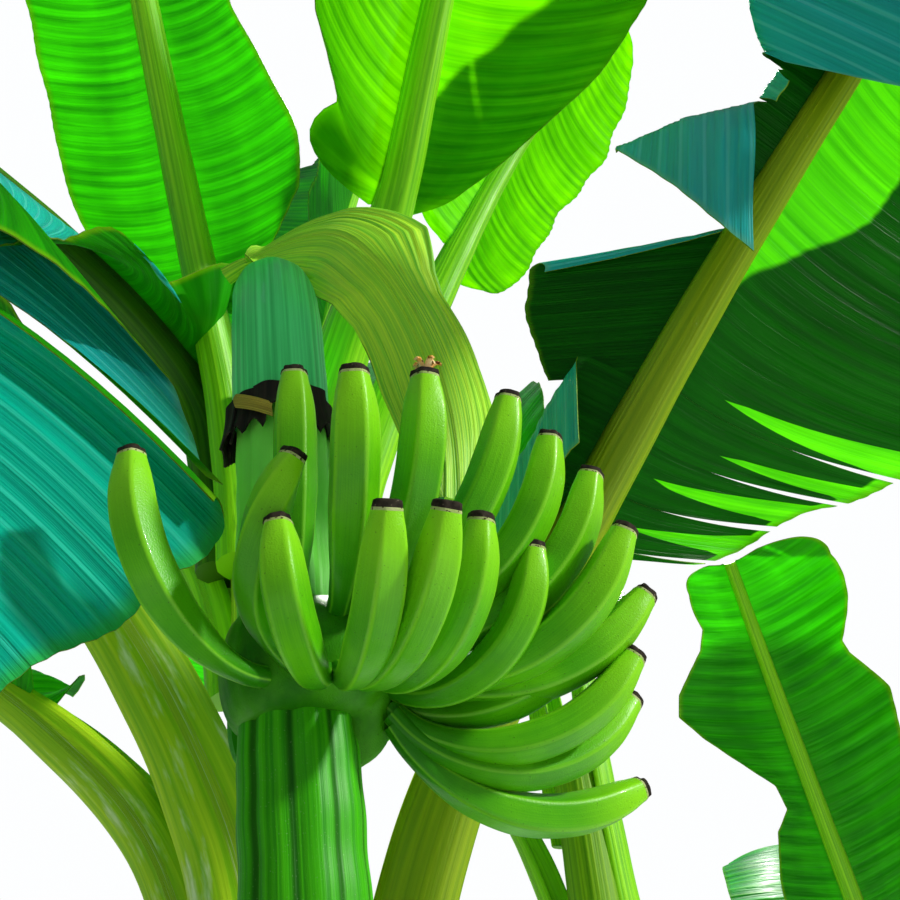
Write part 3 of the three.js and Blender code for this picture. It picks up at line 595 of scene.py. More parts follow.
def stem_piece(name, stem, sheaths, rows, sides, seed, look):
    """A stem of leaf sheaths: each edge runs up it in a slow turn, a few millimetres proud."""
    z = (shares(rows) ** 0.9 * stem["height"])[:, None]
    turn = circle(sides)
    draw = np.random.default_rng(seed)
    size = stem["foot_radius"] / MOTHER["foot_radius"]
    lift = np.zeros((rows, sides))
    for i in range(sheaths):
        start = draw.uniform(0, FULL_TURN)
        lean = draw.uniform(-1, 1) * 0.9 / stem["height"]
        away = (turn - start - lean * z + 0.03 * np.sin(z / 90 + i)) % FULL_TURN
        lift += SHEATH_EDGE * size * np.exp(-away / 0.9) * draw.uniform(0.5, 1.2)
    lift += STEM_RIPPLES[0] * size * ripple(turn * 6 / FULL_TURN + z * 0.0004, [3, 7, 13], seed)
    lift += STEM_RIPPLES[1] * size * ripple(turn * 30 / FULL_TURN + z * 0.0006, [2, 3], seed + 1)
    radius = stem_radius(stem, z) - STEM_INSET * size + lift
    x, y = stem_axis(stem, z)
    rings = np.stack(np.broadcast_arrays(x + radius * np.cos(turn), y + radius * np.sin(turn), z), -1)
    build = Build(name + "_sheaths")
    add_tube(build, rings, 0, uv_grid(z * MM, turn / FULL_TURN))
    build.finish([look], "stem", name)


# Leaves: the rule of the part's source with finer steps, tears, pleats and wavy margins.
# Keys run along the leaf for turn, rise and roll, and along the blade for the rest. A tear is its
# place, the share of the half-blade where it starts and its gap. A lobe with a crease is as wide as
# it says, changes its angle there, and what lies past the crease is drawn back. Shaded is how far
# along the blade the lobes show the second pair of faces, by default painted shade underneath and a painted
# sky reflection on top.
OPEN_FOLD = [(0, 25, 0), (0.3, 12, -15), (1, 5, -25)]
LEAVES = [
    dict(
        name="leaf_front", stem=MOTHER, foot=2090, foot_angle=-120, azimuth=-95.5, stalk=350, blade=1350,
        half=172, rib=35, turn=[(0, 0), (1, 5)], rise=[(0, 85), (0.1, 72.5), (0.17, 59), (0.6, 60), (1, 35)],
        fold=[(0, 30, 0), (0.4, 20, -15), (1, 10, -20)],
        width_left=[(0, 0.5), (0.09, 0.92), (0.14, 0.9), (0.2, 0.8), (0.3, 0.6), (0.5, 0.55)],
        width_right=[(0, 0.93)], fine=True),
    dict(
        name="leaf_front_right", stem=MOTHER, foot=2100, foot_angle=-38, azimuth=-37.5, stalk=500, blade=1270,
        half=290, rib=40, turn=[(0, 0), (0.2, 0), (0.34, -17)],
        rise=[(0, 84.5), (0.1, 63.5), (0.2, 50.5), (0.6, 47.5), (1, 15)],
        fold_left=[(0, -10, -35), (0.3, -5, -35), (1, 10, -20)],
        fold_right=[(0, -20, -50), (0.3, -20, -55), (1, 0, -30)],
        width_left=[(0, 0.35), (0.05, 0.5), (0.1, 0.65), (0.2, 0.92), (0.3, 1.03)],
        width_right=[(0, 0.9), (0.2, 0.8), (0.4, 0.9)], fine=True, looks=dict(under=UNDER_PAINTED_LIGHT)),
    dict(
        name="leaf_right", stem=MOTHER, foot=1490, foot_angle=-25, azimuth=-30.5, stalk=540, blade=1450,
        half=330, rib=38, turn=[(0, 0), (1, 2.5)], rise=[(0, 83), (0.1, 62), (0.2, 45), (0.7, 34.5), (1, 0)],
        fold_left=[(0, 0, -20), (0.1, 0, -25), (0.3, -10, -45), (1, 0, -30)],
        fold_right=[(0, -10, -30), (0.12, 60, 60), (0.15, 75, 105), (0.3, 70, 100), (0.36, 70, -70),
                    (0.8, 70, -70), (1, 0, -30)],
        width_left=[(0, 1), (0.1, 1.1), (0.2, 1.3), (0.32, 1.5), (0.5, 1.3), (0.8, 1)],
        width_right=[(0.04, 0.25), (0.12, 0.35), (0.16, 0.6), (0.29, 0.65), (0.36, 0.45), (0.8, 0.5)],
        tears_left=[(0.035, 0.35, 3), (0.075, 0.3, 4), (0.12, 0.35, 5), (0.165, 0.55, 4)],
        tears_right=[(0.15, 0.1, 8), (0.283, 0.05, 6), (0.372, 0.3, 8), (0.4, 0.3, 8)],
        lobes_right=[
            dict(crease=[(0, 60)], wide=[(0, 60), (0.04, 150), (0.15, 190)], angles=(60, -60), back=0.75),
            dict(crease=[(0, 0)], wide=[(0.15, 85), (0.17, 110), (0.22, 158), (0.27, 188), (0.283, 192)],
                 angles=(75, 75), back=0.5, curl_end=([(0, 6), (0.2, 14), (0.6, 26), (1, 34)], 168)),
            dict(crease=[(0.283, 122), (0.289, 132), (0.33, 96), (0.372, 40)],
                 wide=[(0.283, 136), (0.289, 148), (0.33, 216), (0.372, 274)], angles=(38, -60), back=1.04,
                 crease_reach=18, columns=30),
            dict(crease=[(0.372, 40)], wide=[(0.372, 95), (0.4, 90)], angles=(40, -60), back=0.6),
            dict(crease=[(0.4, 60), (0.47, 160), (0.6, 190), (1, 60)],
                 wide=[(0.4, 62), (0.43, 330), (0.5, 560), (0.7, 560), (0.85, 430), (1, 61)],
                 angles=(50, -95), back=0.35, columns=34)],
        fine=True, shaded_right=1, looks=dict(under=UNDER_PAINTED_SHADOW, rib=RIB_OLIVE)),
    dict(
        name="leaf_right_high", stem=MOTHER, foot=1980, foot_angle=22, azimuth=-6, stalk=700, blade=690,
        half=215, rib=33, rise=[(0, 86), (0.1, 77), (0.2, 66), (0.6, 58), (1, 40)],
        fold_left=[(0, 10, -15), (1, 0, -30)], fold_right=[(0, 45, 25), (0.4, 20, 0), (1, 0, -30)],
        width_right=[(0, 0.8), (0.6, 0.75), (1, 1)], tears_right=[(0.33, 0.25, 3)], fine=True,
        looks=dict(under=UNDER_PAINTED_LIGHT)),
    dict(
        name="leaf_left_front_low", stem=MOTHER, foot=1650, foot_angle=-120, azimuth=-146, stalk=520,
        blade=1300, half=250, rib=42, rise=[(0, 87), (0.08, 68), (0.22, 55), (0.4, 30), (0.65, 0), (1, -55)],
        looks=dict(rib=RIB_PALE)),
    dict(
        name="leaf_left_low", stem=MOTHER, foot=1540, foot_angle=-177, azimuth=179, stalk=520, blade=1300,
        half=240, rib=38, rise=[(0, 86), (0.12, 66), (0.2, 47), (0.6, 22), (1, -35)],
        looks=dict(rib=RIB_PALE)),
    dict(
        name="leaf_left_high", stem=MOTHER, foot=1950, azimuth=168, stalk=350, blade=1350, half=260, rib=34,
        rise=[(0, 85), (0.1, 70), (0.2, 50), (0.6, 28), (1, -10)]),
    dict(
        name="leaf_back_left", stem=MOTHER, foot=1780, azimuth=117, stalk=400, blade=1400, half=270, rib=34,
        rise=[(0, 85), (0.1, 66), (0.2, 46), (0.6, 26), (1, -25)]),
    dict(
        name="leaf_back", stem=MOTHER, foot=2010, azimuth=88, stalk=350, blade=1400, half=235, rib=34,
        rise=[(0, 85), (0.1, 74), (0.2, 63), (0.6, 48), (1, 0)]),
    dict(
        name="leaf_top", stem=MOTHER, foot=2200, azimuth=50, stalk=300, blade=1250, half=190, rib=28,
        rise=[(0, 88), (0.2, 80), (0.6, 72), (1, 55)], fold=[(0, 60, 40), (1, 30, 10)]),
    dict(
        name="follower_leaf_right", stem=FOLLOWER, foot=1700, foot_angle=10, azimuth=25, stalk=420, blade=950,
        half=165, rib=22, rise=[(0, 87), (0.28, 82), (0.42, 55), (0.7, 35), (1, -10)]),
    dict(
        name="follower_leaf_back", stem=FOLLOWER, foot=1690, foot_angle=85, azimuth=84, stalk=360, blade=1050,
        half=165, rib=22, rise=[(0, 85), (0.15, 74), (0.3, 62), (0.6, 45), (1, -10)]),
    dict(
        name="follower_leaf_back_left", stem=FOLLOWER, foot=1560, foot_angle=130, azimuth=128, stalk=340,
        blade=950, half=160, rib=22, rise=[(0, 85), (0.15, 72), (0.3, 52), (0.6, 25), (1, -30)]),
    dict(
        name="follower_leaf_top", stem=FOLLOWER, foot=1790, foot_angle=150, azimuth=75, stalk=280, blade=950,
        half=150, rib=18, rise=[(0, 88), (0.2, 82), (0.6, 68), (1, 45)], fold=[(0, 60, 40), (1, 30, 10)]),
    dict(
        name="sucker_leaf_front", stem=SUCKER, foot=1180, foot_angle=-60, azimuth=-106.5, stalk=360,
        blade=535, half=110, rib=16, turn=[(0, 0), (1, 2.5)],
        rise=[(0, 68.5), (0.3, 66), (0.8, 65), (1, 57)], fine=True,
        width_left=[(0.1, 0.5), (0.3, 0.65), (0.4, 0.89), (0.6, 1.05), (0.7, 0.86), (0.73, 0.86), (0.8, 1.2),
                    (0.9, 1.6), (0.95, 2), (1, 2.4)],
        width_right=[(0.2, 0.62), (0.3, 0.55), (0.4, 0.42), (0.45, 0.25), (0.5, 0.28), (0.6, 0.85),
                     (0.65, 1.07), (0.7, 1.02), (0.8, 0.7), (0.85, 0.65), (0.93, 0.95), (1, 1.5)]),
    dict(
        name="sucker_leaf_right", stem=SUCKER, foot=1150, azimuth=10, stalk=240, blade=700, half=130, rib=16,
        rise=[(0, 76), (0.3, 52), (0.6, 20), (1, -40)]),
    dict(
        name="sucker_leaf_back", stem=SUCKER, foot=1230, azimuth=80, stalk=240, blade=700, half=130, rib=16,
        rise=[(0, 80), (0.3, 62), (0.6, 40), (1, -10)]),
    dict(
        name="leaf_left_front", stands_for=("leaf_left_front", "leaf_left_front_tip"),
        stem=MOTHER, foot=2100, foot_angle=-156, azimuth=-126, stalk=280, blade=1300, half=290, rib=40,
        turn=[(0, 0), (0.2, 18), (0.45, 26), (0.55, 38)],
        rise=[(0, 84), (0.12, 74), (0.2, 22), (0.3, -2), (0.44, -20), (0.53, -85), (1, -88)],
        fold_left=[(0, -30, -70), (0.3, -60, -80), (0.36, -45, -45), (0.5, -20, -38), (1, -5, -20)],
        fold_right=[(0, 62, 45), (0.3, 55, 20), (0.4, 20, -20), (1, 5, -20)],
        width_left=[(0.3, 1), (0.4, 0.9), (0.518, 1.03), (0.52, 1.1), (0.57, 1.03), (0.62, 0.92),
                    (0.66, 0.83), (0.71, 0.72), (0.85, 0.6), (1, 0.5)],
        width_right=[(0, 0.2), (0.12, 0.25), (0.2, 0.5), (0.3, 1)], tears_left=[(0.519, 0.0, 0.0)],
        lobes_left=[{}, dict(curl_start=([(0, 38)], -165))], sweep=0.72, fine=True, shaded_left=0.5,
        shaded_right=1, looks=dict(upper=UPPER_WAXY_TEAL_PAINTED_REFLECTION, rib=RIB_PAINTED_SHADE, under_shaded=UNDER)),
    dict(
        name="hanging_bract", start=(-5, -335, 2285), azimuth=-12, stalk=30, blade=480, half=65, rib=9,
        turn=[(0, 0), (0.25, -10), (0.5, 26), (1, 7)],
        rise=[(0, 20), (0.14, -2), (0.35, -62), (0.55, -74), (1, -100)],
        roll=[(0, -70), (0.3, -82), (1, -64)], fold=[(0, -5, -15), (1, -10, -20)], sweep=0.1,
        width_left=[(0.17, 0.6), (0.25, 0.85), (0.32, 1.18), (0.42, 0.88), (0.67, 0.82), (1, 0.95)],
        width_right=[(0.42, 1), (0.55, 0.82), (1, 0.8)],
        pleat=11.5, pleat_height=1.3, pleats_along=True, grid=(140, 44, 70),
        looks=dict(under=BRACT, upper=BRACT, rib=BRACT)),
]
# Rows and columns of a half-blade, then rows of its rib
FINE_GRID = (300, 14, 120)
PLAIN_GRID = (150, 9, 70)
# What a leaf is dressed in, in the order of its material slots; by default the shaded pair is painted shade
# underneath and a painted sky reflection on top
LEAF_LOOKS = dict(
    under=UNDER, upper=UPPER, edge=EDGE, rib=RIB, under_shaded=UNDER_PAINTED_SHADE, upper_shaded=UPPER_PAINTED_SKY_REFLECTION)
LEAF_SLOTS = {part: slot for slot, part in enumerate(LEAF_LOOKS)}


def on_side(leaf, what, side, otherwise=None):
    """What a leaf says for its left (side -1) or right (side 1) half-blade."""
    return leaf.get(f"{what}_{'left' if side < 0 else 'right'}", otherwise)


def leaf_start(leaf):
    if "start" in leaf:
        return leaf["start"]
    angle = math.radians(leaf.get("foot_angle", leaf["azimuth"]))
    x, y = stem_axis(leaf["stem"], leaf["foot"])
    out = stem_radius(leaf["stem"], leaf["foot"]) - SEAT
    return (x + out * math.cos(angle), y + out * math.sin(angle), leaf["foot"])


def leaf_length(leaf):
    return leaf["stalk"] + leaf["blade"]


def blade_from(leaf):
    """The share of the leaf's length at which its blade starts."""
    return leaf["stalk"] / leaf_length(leaf)


def leaf_frames(leaf, s):
    turn = leaf.get("turn", [(0, 0)])
    return Frames(
        leaf_start(leaf), leaf_length(leaf), s, lambda k: leaf["azimuth"] + along(turn, k),
        lambda k: along(leaf["rise"], k), leaf.get("roll"))


def blade_shape(t):
    base = np.sqrt(np.maximum(0, 1 - (1 - clamp01(t / BASE_ROUNDS)) ** 2))
    tip = np.sqrt(np.maximum(0, 1 - clamp01((t - 1 + TIP_ROUNDS) / TIP_ROUNDS) ** 2))
    return base * tip


def rib_half(leaf, s):
    keys = [(0, leaf["rib"]), (blade_from(leaf), leaf["rib"] * RIB_AT_BLADE), (1, RIB_AT_TIP)]
    return along(keys, s)


def half_blade(leaf, side, t, columns, lobe, seed):
    """Middle surface of one half-blade at shares t of the blade: points [rows, columns + 1, 3]."""
    s = mix(blade_from(leaf), 1, t)
    frames = leaf_frames(leaf, s)
    rib = rib_half(leaf, s)[:, None]
    fold = on_side(leaf, "fold", side, leaf.get("fold", OPEN_FOLD))
    width = along(on_side(leaf, "width", side, [(0, 1)]), t)
    wavy = 1 + MARGIN_WAVE * ripple(t * leaf["blade"] / 100, [0.35, 0.8], seed)
    half = (width * leaf["half"] * blade_shape(t) * wavy)[:, None]
    growth = clamp01(t / 0.03)
    first = mix(ROOT_FOLD[0], soft_along(fold, t, 1), growth)
    last = mix(ROOT_FOLD[1], soft_along(fold, t, 2), growth)
    c = shares(columns + 1)
    middle = (c[1:] + c[:-1]) / 2
    angle = mix(first[:, None], last[:, None], middle)
    wide = np.maximum(half, rib * 0.35 + 4)
    back = 0
    if "crease" in lobe:
        place = along(lobe["crease"], t)[:, None]
        wide = along(lobe["wide"], t)[:, None]
        before, after = lobe["angles"]
        angle = mix(before, after, smooth((middle * wide - place) / lobe.get("crease_reach", CREASE_REACH)))
        back = -lobe["back"] * np.maximum(0, c * wide - place)
    angle = np.radians(angle)
    step = wide / columns
    foot = np.zeros((len(t), 1))
    across = rib * BLADE_OUT + np.hstack([foot, np.cumsum(step * np.cos(angle), axis=1)])
    lift = rib * BLADE_LIFT + np.hstack([foot, np.cumsum(step * np.sin(angle), axis=1)])

    full = clamp01(half / leaf["half"])
    waves = ripple(t[:, None] * leaf["blade"] / 100 + 0.15 * c, [0.35, 0.9], seed + 5)
    lift += BLADE_WAVE * min(1.0, leaf["half"] / 220) * waves * c ** 2 * full
    run = t[:, None] * leaf["blade"]
    pitch = leaf.get("pleat", PLEAT_PITCH)
    if leaf.get("pleats_along"):
        phase = c * wide.max() / pitch + 0.3 * ripple(run / 200 + 2 * c, [0.7, 1.6], seed)
    else:
        phase = run / pitch + 0.25 * ripple(run / 200, [0.7, 1.6], seed + 9)
    lift += leaf.get("pleat_height", PLEAT_HEIGHT) * np.sin(FULL_TURN * phase) * clamp01(c * wide / 60)
    sweep = 0 if "crease" in lobe else leaf.get("sweep", TIP_SWEEP)
    ahead = leaf["half"] * sweep * c ** 1.5 * full + back
    return frames.placed(side * across, lift) + frames.forward[:, None] * ahead[..., None]


def moved_rows(points, run, places):
    """The columns of points, along a run, read again at other places [rows, columns]."""
    out = np.empty_like(points)
    for j in range(points.shape[1]):
        for k in range(3):
            out[:, j, k] = np.interp(places[:, j], run, points[:, j, k])
    return out


def open_tear(points, t, away, hinge, shift):
    """Draws a lobe's rows back from a tear at one of its ends, from the tear's hinge out. Away is each
    row's distance from the tear as a share of the lobe, and shift the gap as a share of the blade."""
    c = shares(points.shape[1])
    open_by = shift * smooth((c - hinge) / max(1 - hinge, 0.05))
    reach = clamp01(1 - away / TEAR_REACH) ** 1.5
    return moved_rows(points, t, t[:, None] + open_by * reach[:, None])


def curl_edge(points, frames, run, reaches, turn, end):
    """Rolls the rows at a lobe's start (end -1) or end (1) down: the edge along a tear turns over and
    shows its other face. Reaches hold how much of it turns over, keyed to the share of the half-blade."""
    reach = along(reaches, shares(points.shape[1]))
    hinge = run[0 if end < 0 else -1] - end * reach
    radius = reach / math.radians(turn)
    angle = np.maximum(0, end * (run[:, None] - hinge)) / radius
    held = end * np.minimum(end * run[:, None], end * hinge)
    ahead = (end * radius * np.sin(angle))[..., None]
    down = (radius * (1 - np.cos(angle)))[..., None]
    return moved_rows(points, run, held) + frames.forward[:, None] * ahead - frames.up[:, None] * down


def add_blade(build, leaf, side, rows, leaf_columns, seed):
    """A half-blade, as a closed thin sheet for each lobe between two tears."""
    tears = sorted(on_side(leaf, "tears", side, []))
    starts = [(0.0, 1.0, 0.0)] + tears
    ends = tears + [(1.0, 1.0, 0.0)]
    for start, end, lobe in zip(starts, ends, on_side(leaf, "lobes", side, [{}] * len(ends))):
        length = end[0] - start[0]
        count = max(6, int(rows * length) + 2)
        u = shares(count)
        if start[0] == 0.0:
            u = mix(u, u ** 2, 0.5 * min(1, 0.25 / length))
        if end[0] == 1.0:
            u = mix(u, 1 - (1 - u) ** 2, 0.5 * min(1, 0.25 / length))
        t = mix(start[0], end[0], u)
        run = t * leaf["blade"]
        columns = lobe.get("columns", CREASE_COLUMNS if "crease" in lobe else leaf_columns)
        points = half_blade(leaf, side, t, columns, lobe, seed)
        for (_, hinge, gap), away, way in ((start, u, 1), (end, 1 - u, -1)):
            if gap > 0:
                points = open_tear(points, t, away, hinge, way * gap / leaf["blade"])
        for key, way in (("curl_start", -1), ("curl_end", 1)):
            if key in lobe:
                frames = leaf_frames(leaf, mix(blade_from(leaf), 1, t))
                points = curl_edge(points, frames, run, *lobe[key], way)
        normals = -grid_normals(points) * side
        uv = uv_grid((run * MM)[:, None], side * shares(columns + 1))
        shaded = (start[0] + end[0]) / 2 <= on_side(leaf, "shaded", side, 0)
        parts = ("upper_shaded", "under_shaded", "edge") if shaded else ("upper", "under", "edge")
        slots = [LEAF_SLOTS[part] for part in parts]
        add_shell(build, points[:, ::side], normals[:, ::side], SHEET, slots, uv[:, ::side])


# Section of a leaf stalk in shares of its half-width: outer side from the left wing round the
# keel to the right wing, as azimuth and radius, then back through the channel.
OUTER = [(200, 0.95), (225, 1.05), (250, 1.15), (270, 1.22), (290, 1.15), (315, 1.05), (340, 0.95)]


def stalk_section(wing, channel):
    """Closed section, counter-clockwise, for a wing height and a channel depth in shares."""
    outer = [(r * math.cos(math.radians(a)), r * math.sin(math.radians(a))) for a, r in OUTER]
    right = [(1.0, 0.0), (0.98, wing * 0.55), (0.92, wing), (0.80, wing * 0.96)]
    inner = [(0.62, mix(wing, channel, 0.55)), (0.36, mix(wing, channel, 0.9)), (0.0, channel)]
    left = [(-x, y) for x, y in reversed(right)]
    back = [(-x, y) for x, y in reversed(inner[:2])]
    return np.array(outer + right + inner + back + left)


def add_rib(build, leaf, rows, seed):
    """The leaf's stalk, an open channel, which flattens into the rib of its blade."""
    join = blade_from(leaf)
    s = np.concatenate([np.linspace(0, join, rows // 2, endpoint=False), np.linspace(join, 1, rows // 2)])
    half = rib_half(leaf, s) * (1 + 0.02 * ripple(s * 6, [1, 2.3], seed))
    on_blade = smooth((s - join * 0.75) / (join * 0.5))[:, None, None]
    section = mix(stalk_section(0.85, 0.05), stalk_section(0.42, 0.16), on_blade) * half[:, None, None]
    rings = leaf_frames(leaf, s).placed(section[..., 0], section[..., 1])[:, ::-1]
    run = (s * leaf_length(leaf) * MM)[:, None]
    add_tube(build, rings, LEAF_SLOTS["rib"], uv_grid(run, shares(rings.shape[1])))


def leaf_piece(leaf, index):
    rows, columns, rib_rows = leaf.get("grid", FINE_GRID if "fine" in leaf else PLAIN_GRID)
    build = Build(leaf["name"] + "_blade")
    for side in (-1, 1):
        add_blade(build, leaf, side, rows, columns, 100 + 20 * index + side)
    add_rib(build, leaf, rib_rows, 500 + index)
    looks = {**LEAF_LOOKS, **leaf.get("looks", {})}
    build.finish(looks.values(), "leaf", *leaf.get("stands_for", (leaf["name"],)))


# The fruit stalk
def stalk_radius(z):
    return along(STALK_SWELL, z)


def round_stalk(turn, out, z):
    """Points round the plumb stalk's axis: angles in radians, distances from it and heights."""
    x = STALK_PLACE[0] + out * np.cos(turn)
    y = STALK_PLACE[1] + out * np.sin(turn)
    return np.stack(np.broadcast_arrays(x, y, z), -1)


def arch_piece(steps=70, sides=48):
    """The sheathed arch: two quarter turns out of the crown, then straight down to the collar."""
    x0, y0 = MOTHER["top"]
    x1, y1 = STALK_PLACE
    azimuth = math.atan2(y1 - y0, x1 - x0)
    reach = math.hypot(x1 - x0, y1 - y0)
    swing = np.linspace(0, math.pi, steps)
    drop = np.where(swing < math.pi / 2, ARCH_TOP - MOTHER["height"], ARCH_DROP)
    out = reach / 2 * (1 - np.cos(swing))
    z = ARCH_TOP - drop * (1 - np.sin(swing))
    point = np.stack([x0 + out * math.cos(azimuth), y0 + out * math.sin(azimuth), z], -1)
    ahead = reach / 2 * np.sin(swing)
    forward = unit(np.stack([ahead * math.cos(azimuth), ahead * math.sin(azimuth), drop * np.cos(swing)], -1))
    tail = np.linspace(ARCH_TOP - ARCH_DROP, SHEATH_END, 14)[1:]
    point = np.vstack([point, [[x1, y1, z] for z in tail]])
    forward = np.vstack([forward, [[0, 0, -1]] * len(tail)])
    right = np.broadcast_to([math.sin(azimuth), -math.cos(azimuth), 0], point.shape)
    run = np.concatenate([[0], np.cumsum(np.linalg.norm(np.diff(point, axis=0), axis=1))])[:, None]
    turn = -circle(sides)
    uneven = 1 + 0.010 * np.sin(turn * 9) + 0.008 * ripple(run / 130, [1, 2], 3)
    radius = (STALK_RADIUS + SHEATH_WALL) * uneven
    rings = placed(point, right, np.cross(right, forward), radius * np.cos(turn), radius * np.sin(turn))
    build = Build("fruit_stalk_sheath")
    add_tube(build, rings, 0, uv_grid(run * MM, -turn / FULL_TURN))
    build.finish([SHEATH], "stalk", "fruit_stalk_arch")


def stalk_piece(rows=220, sides=96):
    """The bare stalk, from inside the sheath down to the bud, with ribs that fade towards its thin end."""
    z = np.linspace(SHEATH_END + 20, STALK_END, rows)[:, None]
    wave = np.abs(np.sin(circle(sides) * STALK_RIBS / 2 + STALK_RIB_PHASE))
    ribs = wave ** 0.7 * STALK_RIB_HEIGHT - STALK_RIB_SINK
    radius = stalk_radius(z) + ribs * clamp01((z - 1200) / 300) + 0.8 * ripple(z / 90, [1, 2.2], 8)
    rings = round_stalk(-circle(sides), radius[:, ::-1], z)
    build = Build("fruit_stalk_skin")
    add_tube(build, rings, 0, uv_grid(z * MM, np.linspace(1, 0, sides)))
    build.finish([STALK], "stalk", "fruit_stalk")


def add_flap(build, turn, out, z, thick, slot, uv):
    points = round_stalk(turn, out, z)
    add_shell(build, points[:, ::-1], -grid_normals(points)[:, ::-1], thick, (slot, slot, slot), uv[:, ::-1])


def collar_piece():
    """The dried end of the sheath: torn flaps round the stalk that curl out a little, and a strip."""
    build = Build("dried_collar_flaps")
    draw = np.random.default_rng(21)
    rows = shares(14)[:, None]
    for k in range(COLLAR_FLAPS):
        middle = k * 360 / COLLAR_FLAPS + draw.uniform(-8, 8)
        half = draw.uniform(22, 34)
        low = draw.uniform(0.55, 1.05)
        curl = draw.uniform(2, 9)
        turn = np.radians(np.linspace(middle - half, middle + half, 16))
        rag = 1 - 0.35 * np.abs(np.sin(np.linspace(0, 7, 16) + k)) * draw.uniform(0.5, 1)
        drop = rows * COLLAR_HEIGHT * low * rag
        out = STALK_RADIUS + 4 + 1.4 * (k % 3) + curl * rows ** 2 + 1.2 * np.sin(turn * 11)
        add_flap(build, turn, out, SHEATH_END + 8 - drop, FLAP_SHEET, 0, uv_grid(drop * MM, turn / FULL_TURN))
    strip = shares(12)
    fall = shares(8)[:, None]
    turn = np.radians(mix(-122, -84, strip))
    out = STALK_RADIUS + 11 + 3 * np.sin(3 * fall)
    z = SHEATH_END + 2 - 14 * fall - 22 * strip
    add_flap(build, turn, out, z, STRIP_SHEET, 1, uv_grid(strip * 0.06, fall))
    build.finish([DRY, DRY_LIGHT], "dried_sheath", "dried_collar")


def band_points(start, end, z, high, thick, swell, drop, rows, columns, bulges, seed):
    """A band round the stalk with a rounded section; bulges are the fused finger feet."""
    share = shares(rows)[:, None]
    azimuth = mix(start, end, share)
    fade = 0.35 + 0.65 * np.sin(math.pi * mix(0.04, 0.96, share)) ** 0.5
    out = (thick + 5 + swell * clamp01((azimuth + 80) / 40)) * fade
    turn = np.linspace(-math.pi / 2, math.pi / 2, columns)
    lumps = 1 + 0.10 * np.abs(np.sin(np.radians(azimuth) * bulges)) * np.cos(turn)
    radius = (stalk_radius(z) - 6 + (out * lumps) * np.cos(turn) ** 0.8
              + 0.5 * ripple(share * 9, [1, 2], seed))
    return round_stalk(
        np.radians(azimuth), radius, z - drop * clamp01((azimuth + 5) / 25) + high / 2 * np.sin(turn))


def band_piece(name, replaced, look, **band):
    build = Build(name)
    add_tube(build, band_points(**band)[::-1], 0)
    build.finish([look], "fruit", replaced)


# Fingers: azimuth of the foot, heading, elevation at the foot, elevation at the tip, length; front
# row, then upper row. One finger's heading swings as it rises, by the angle at its end.
FRONT_ROW = [
    (-98, -120, -5, 86, 182), (-66, -136, 24, 57, 150, 128), (-54, -93, -45, 87, 136),
    (-48, -64, -45, 57, 158), (-43, -53, -45, 54, 165), (-27, -43, -47, 68, 156), (6, -20, -40, 73, 164),
    (16, 6, -33, 52, 179), (10, 9, -50, 43, 198), (6, 23, -53, 39, 205), (8, 30, -60, 18, 206),
]
UPPER_ROW = [
    (-73, -66, 78, 74, 179), (-45, -69, 1, 67, 169), (-27, -53, 2, 75, 177), (-21, -24, 6, 68, 189),
    (-8, -14, -14, 70, 199), (-3, -6, -25, 65, 214), (8, -11, -45, 54, 216), (9, 8, -39, 41, 214),
]
FINGER_BEND = 0.8
FACETS = 5
FLOWERED_FINGER = "finger_upper_03"
FINGER_PROFILE = [
    (0, 0.50), (0.13, 0.53), (0.22, 0.64), (0.32, 0.80), (0.5, 0.98), (0.75, 1.0), (0.86, 0.93), (0.94, 0.80),
    (0.98, 0.68), (1, 0.62),
]
# Rings past the finger's end: share of its last ring, and distance ahead of it
RIM_RINGS = [(1.0, 0.9), (0.97, 1.8)]
BLACK_RINGS = [(0.93, 3.0), (0.88, 5.6), (0.66, 6.6), (0.3, 5.8)]
PETALS = 9
# Fingers of the hidden lower hand: azimuths, then elevations at the foot and the tip, and length
LOWER_AZIMUTHS = np.linspace(-205, 25, 10)
LOWER_COURSE = (-8, 84, 165)
LOWER_FOOT_OUT = 3


def finger_foot(index, level, azimuth):
    drop = max(0, index - SLOPE_FROM[level]) * SLOPE_STEP
    out = HAND_RADIUS + 16 * clamp01((azimuth + 70) / 40)
    return round_stalk(math.radians(azimuth), out, HAND_HEIGHT + level * ROW_RISE - drop)


def finger_frames(finger, start, rows):
    azimuth, foot_rise, tip_rise, length = finger[:4]
    swing = finger[4] if len(finger) > 4 else 0
    return Frames(
        start, length, shares(rows), lambda s: azimuth + swing * s,
        lambda s: mix(foot_rise, tip_rise, clamp01((s - 0.05) / 0.85) ** FINGER_BEND))


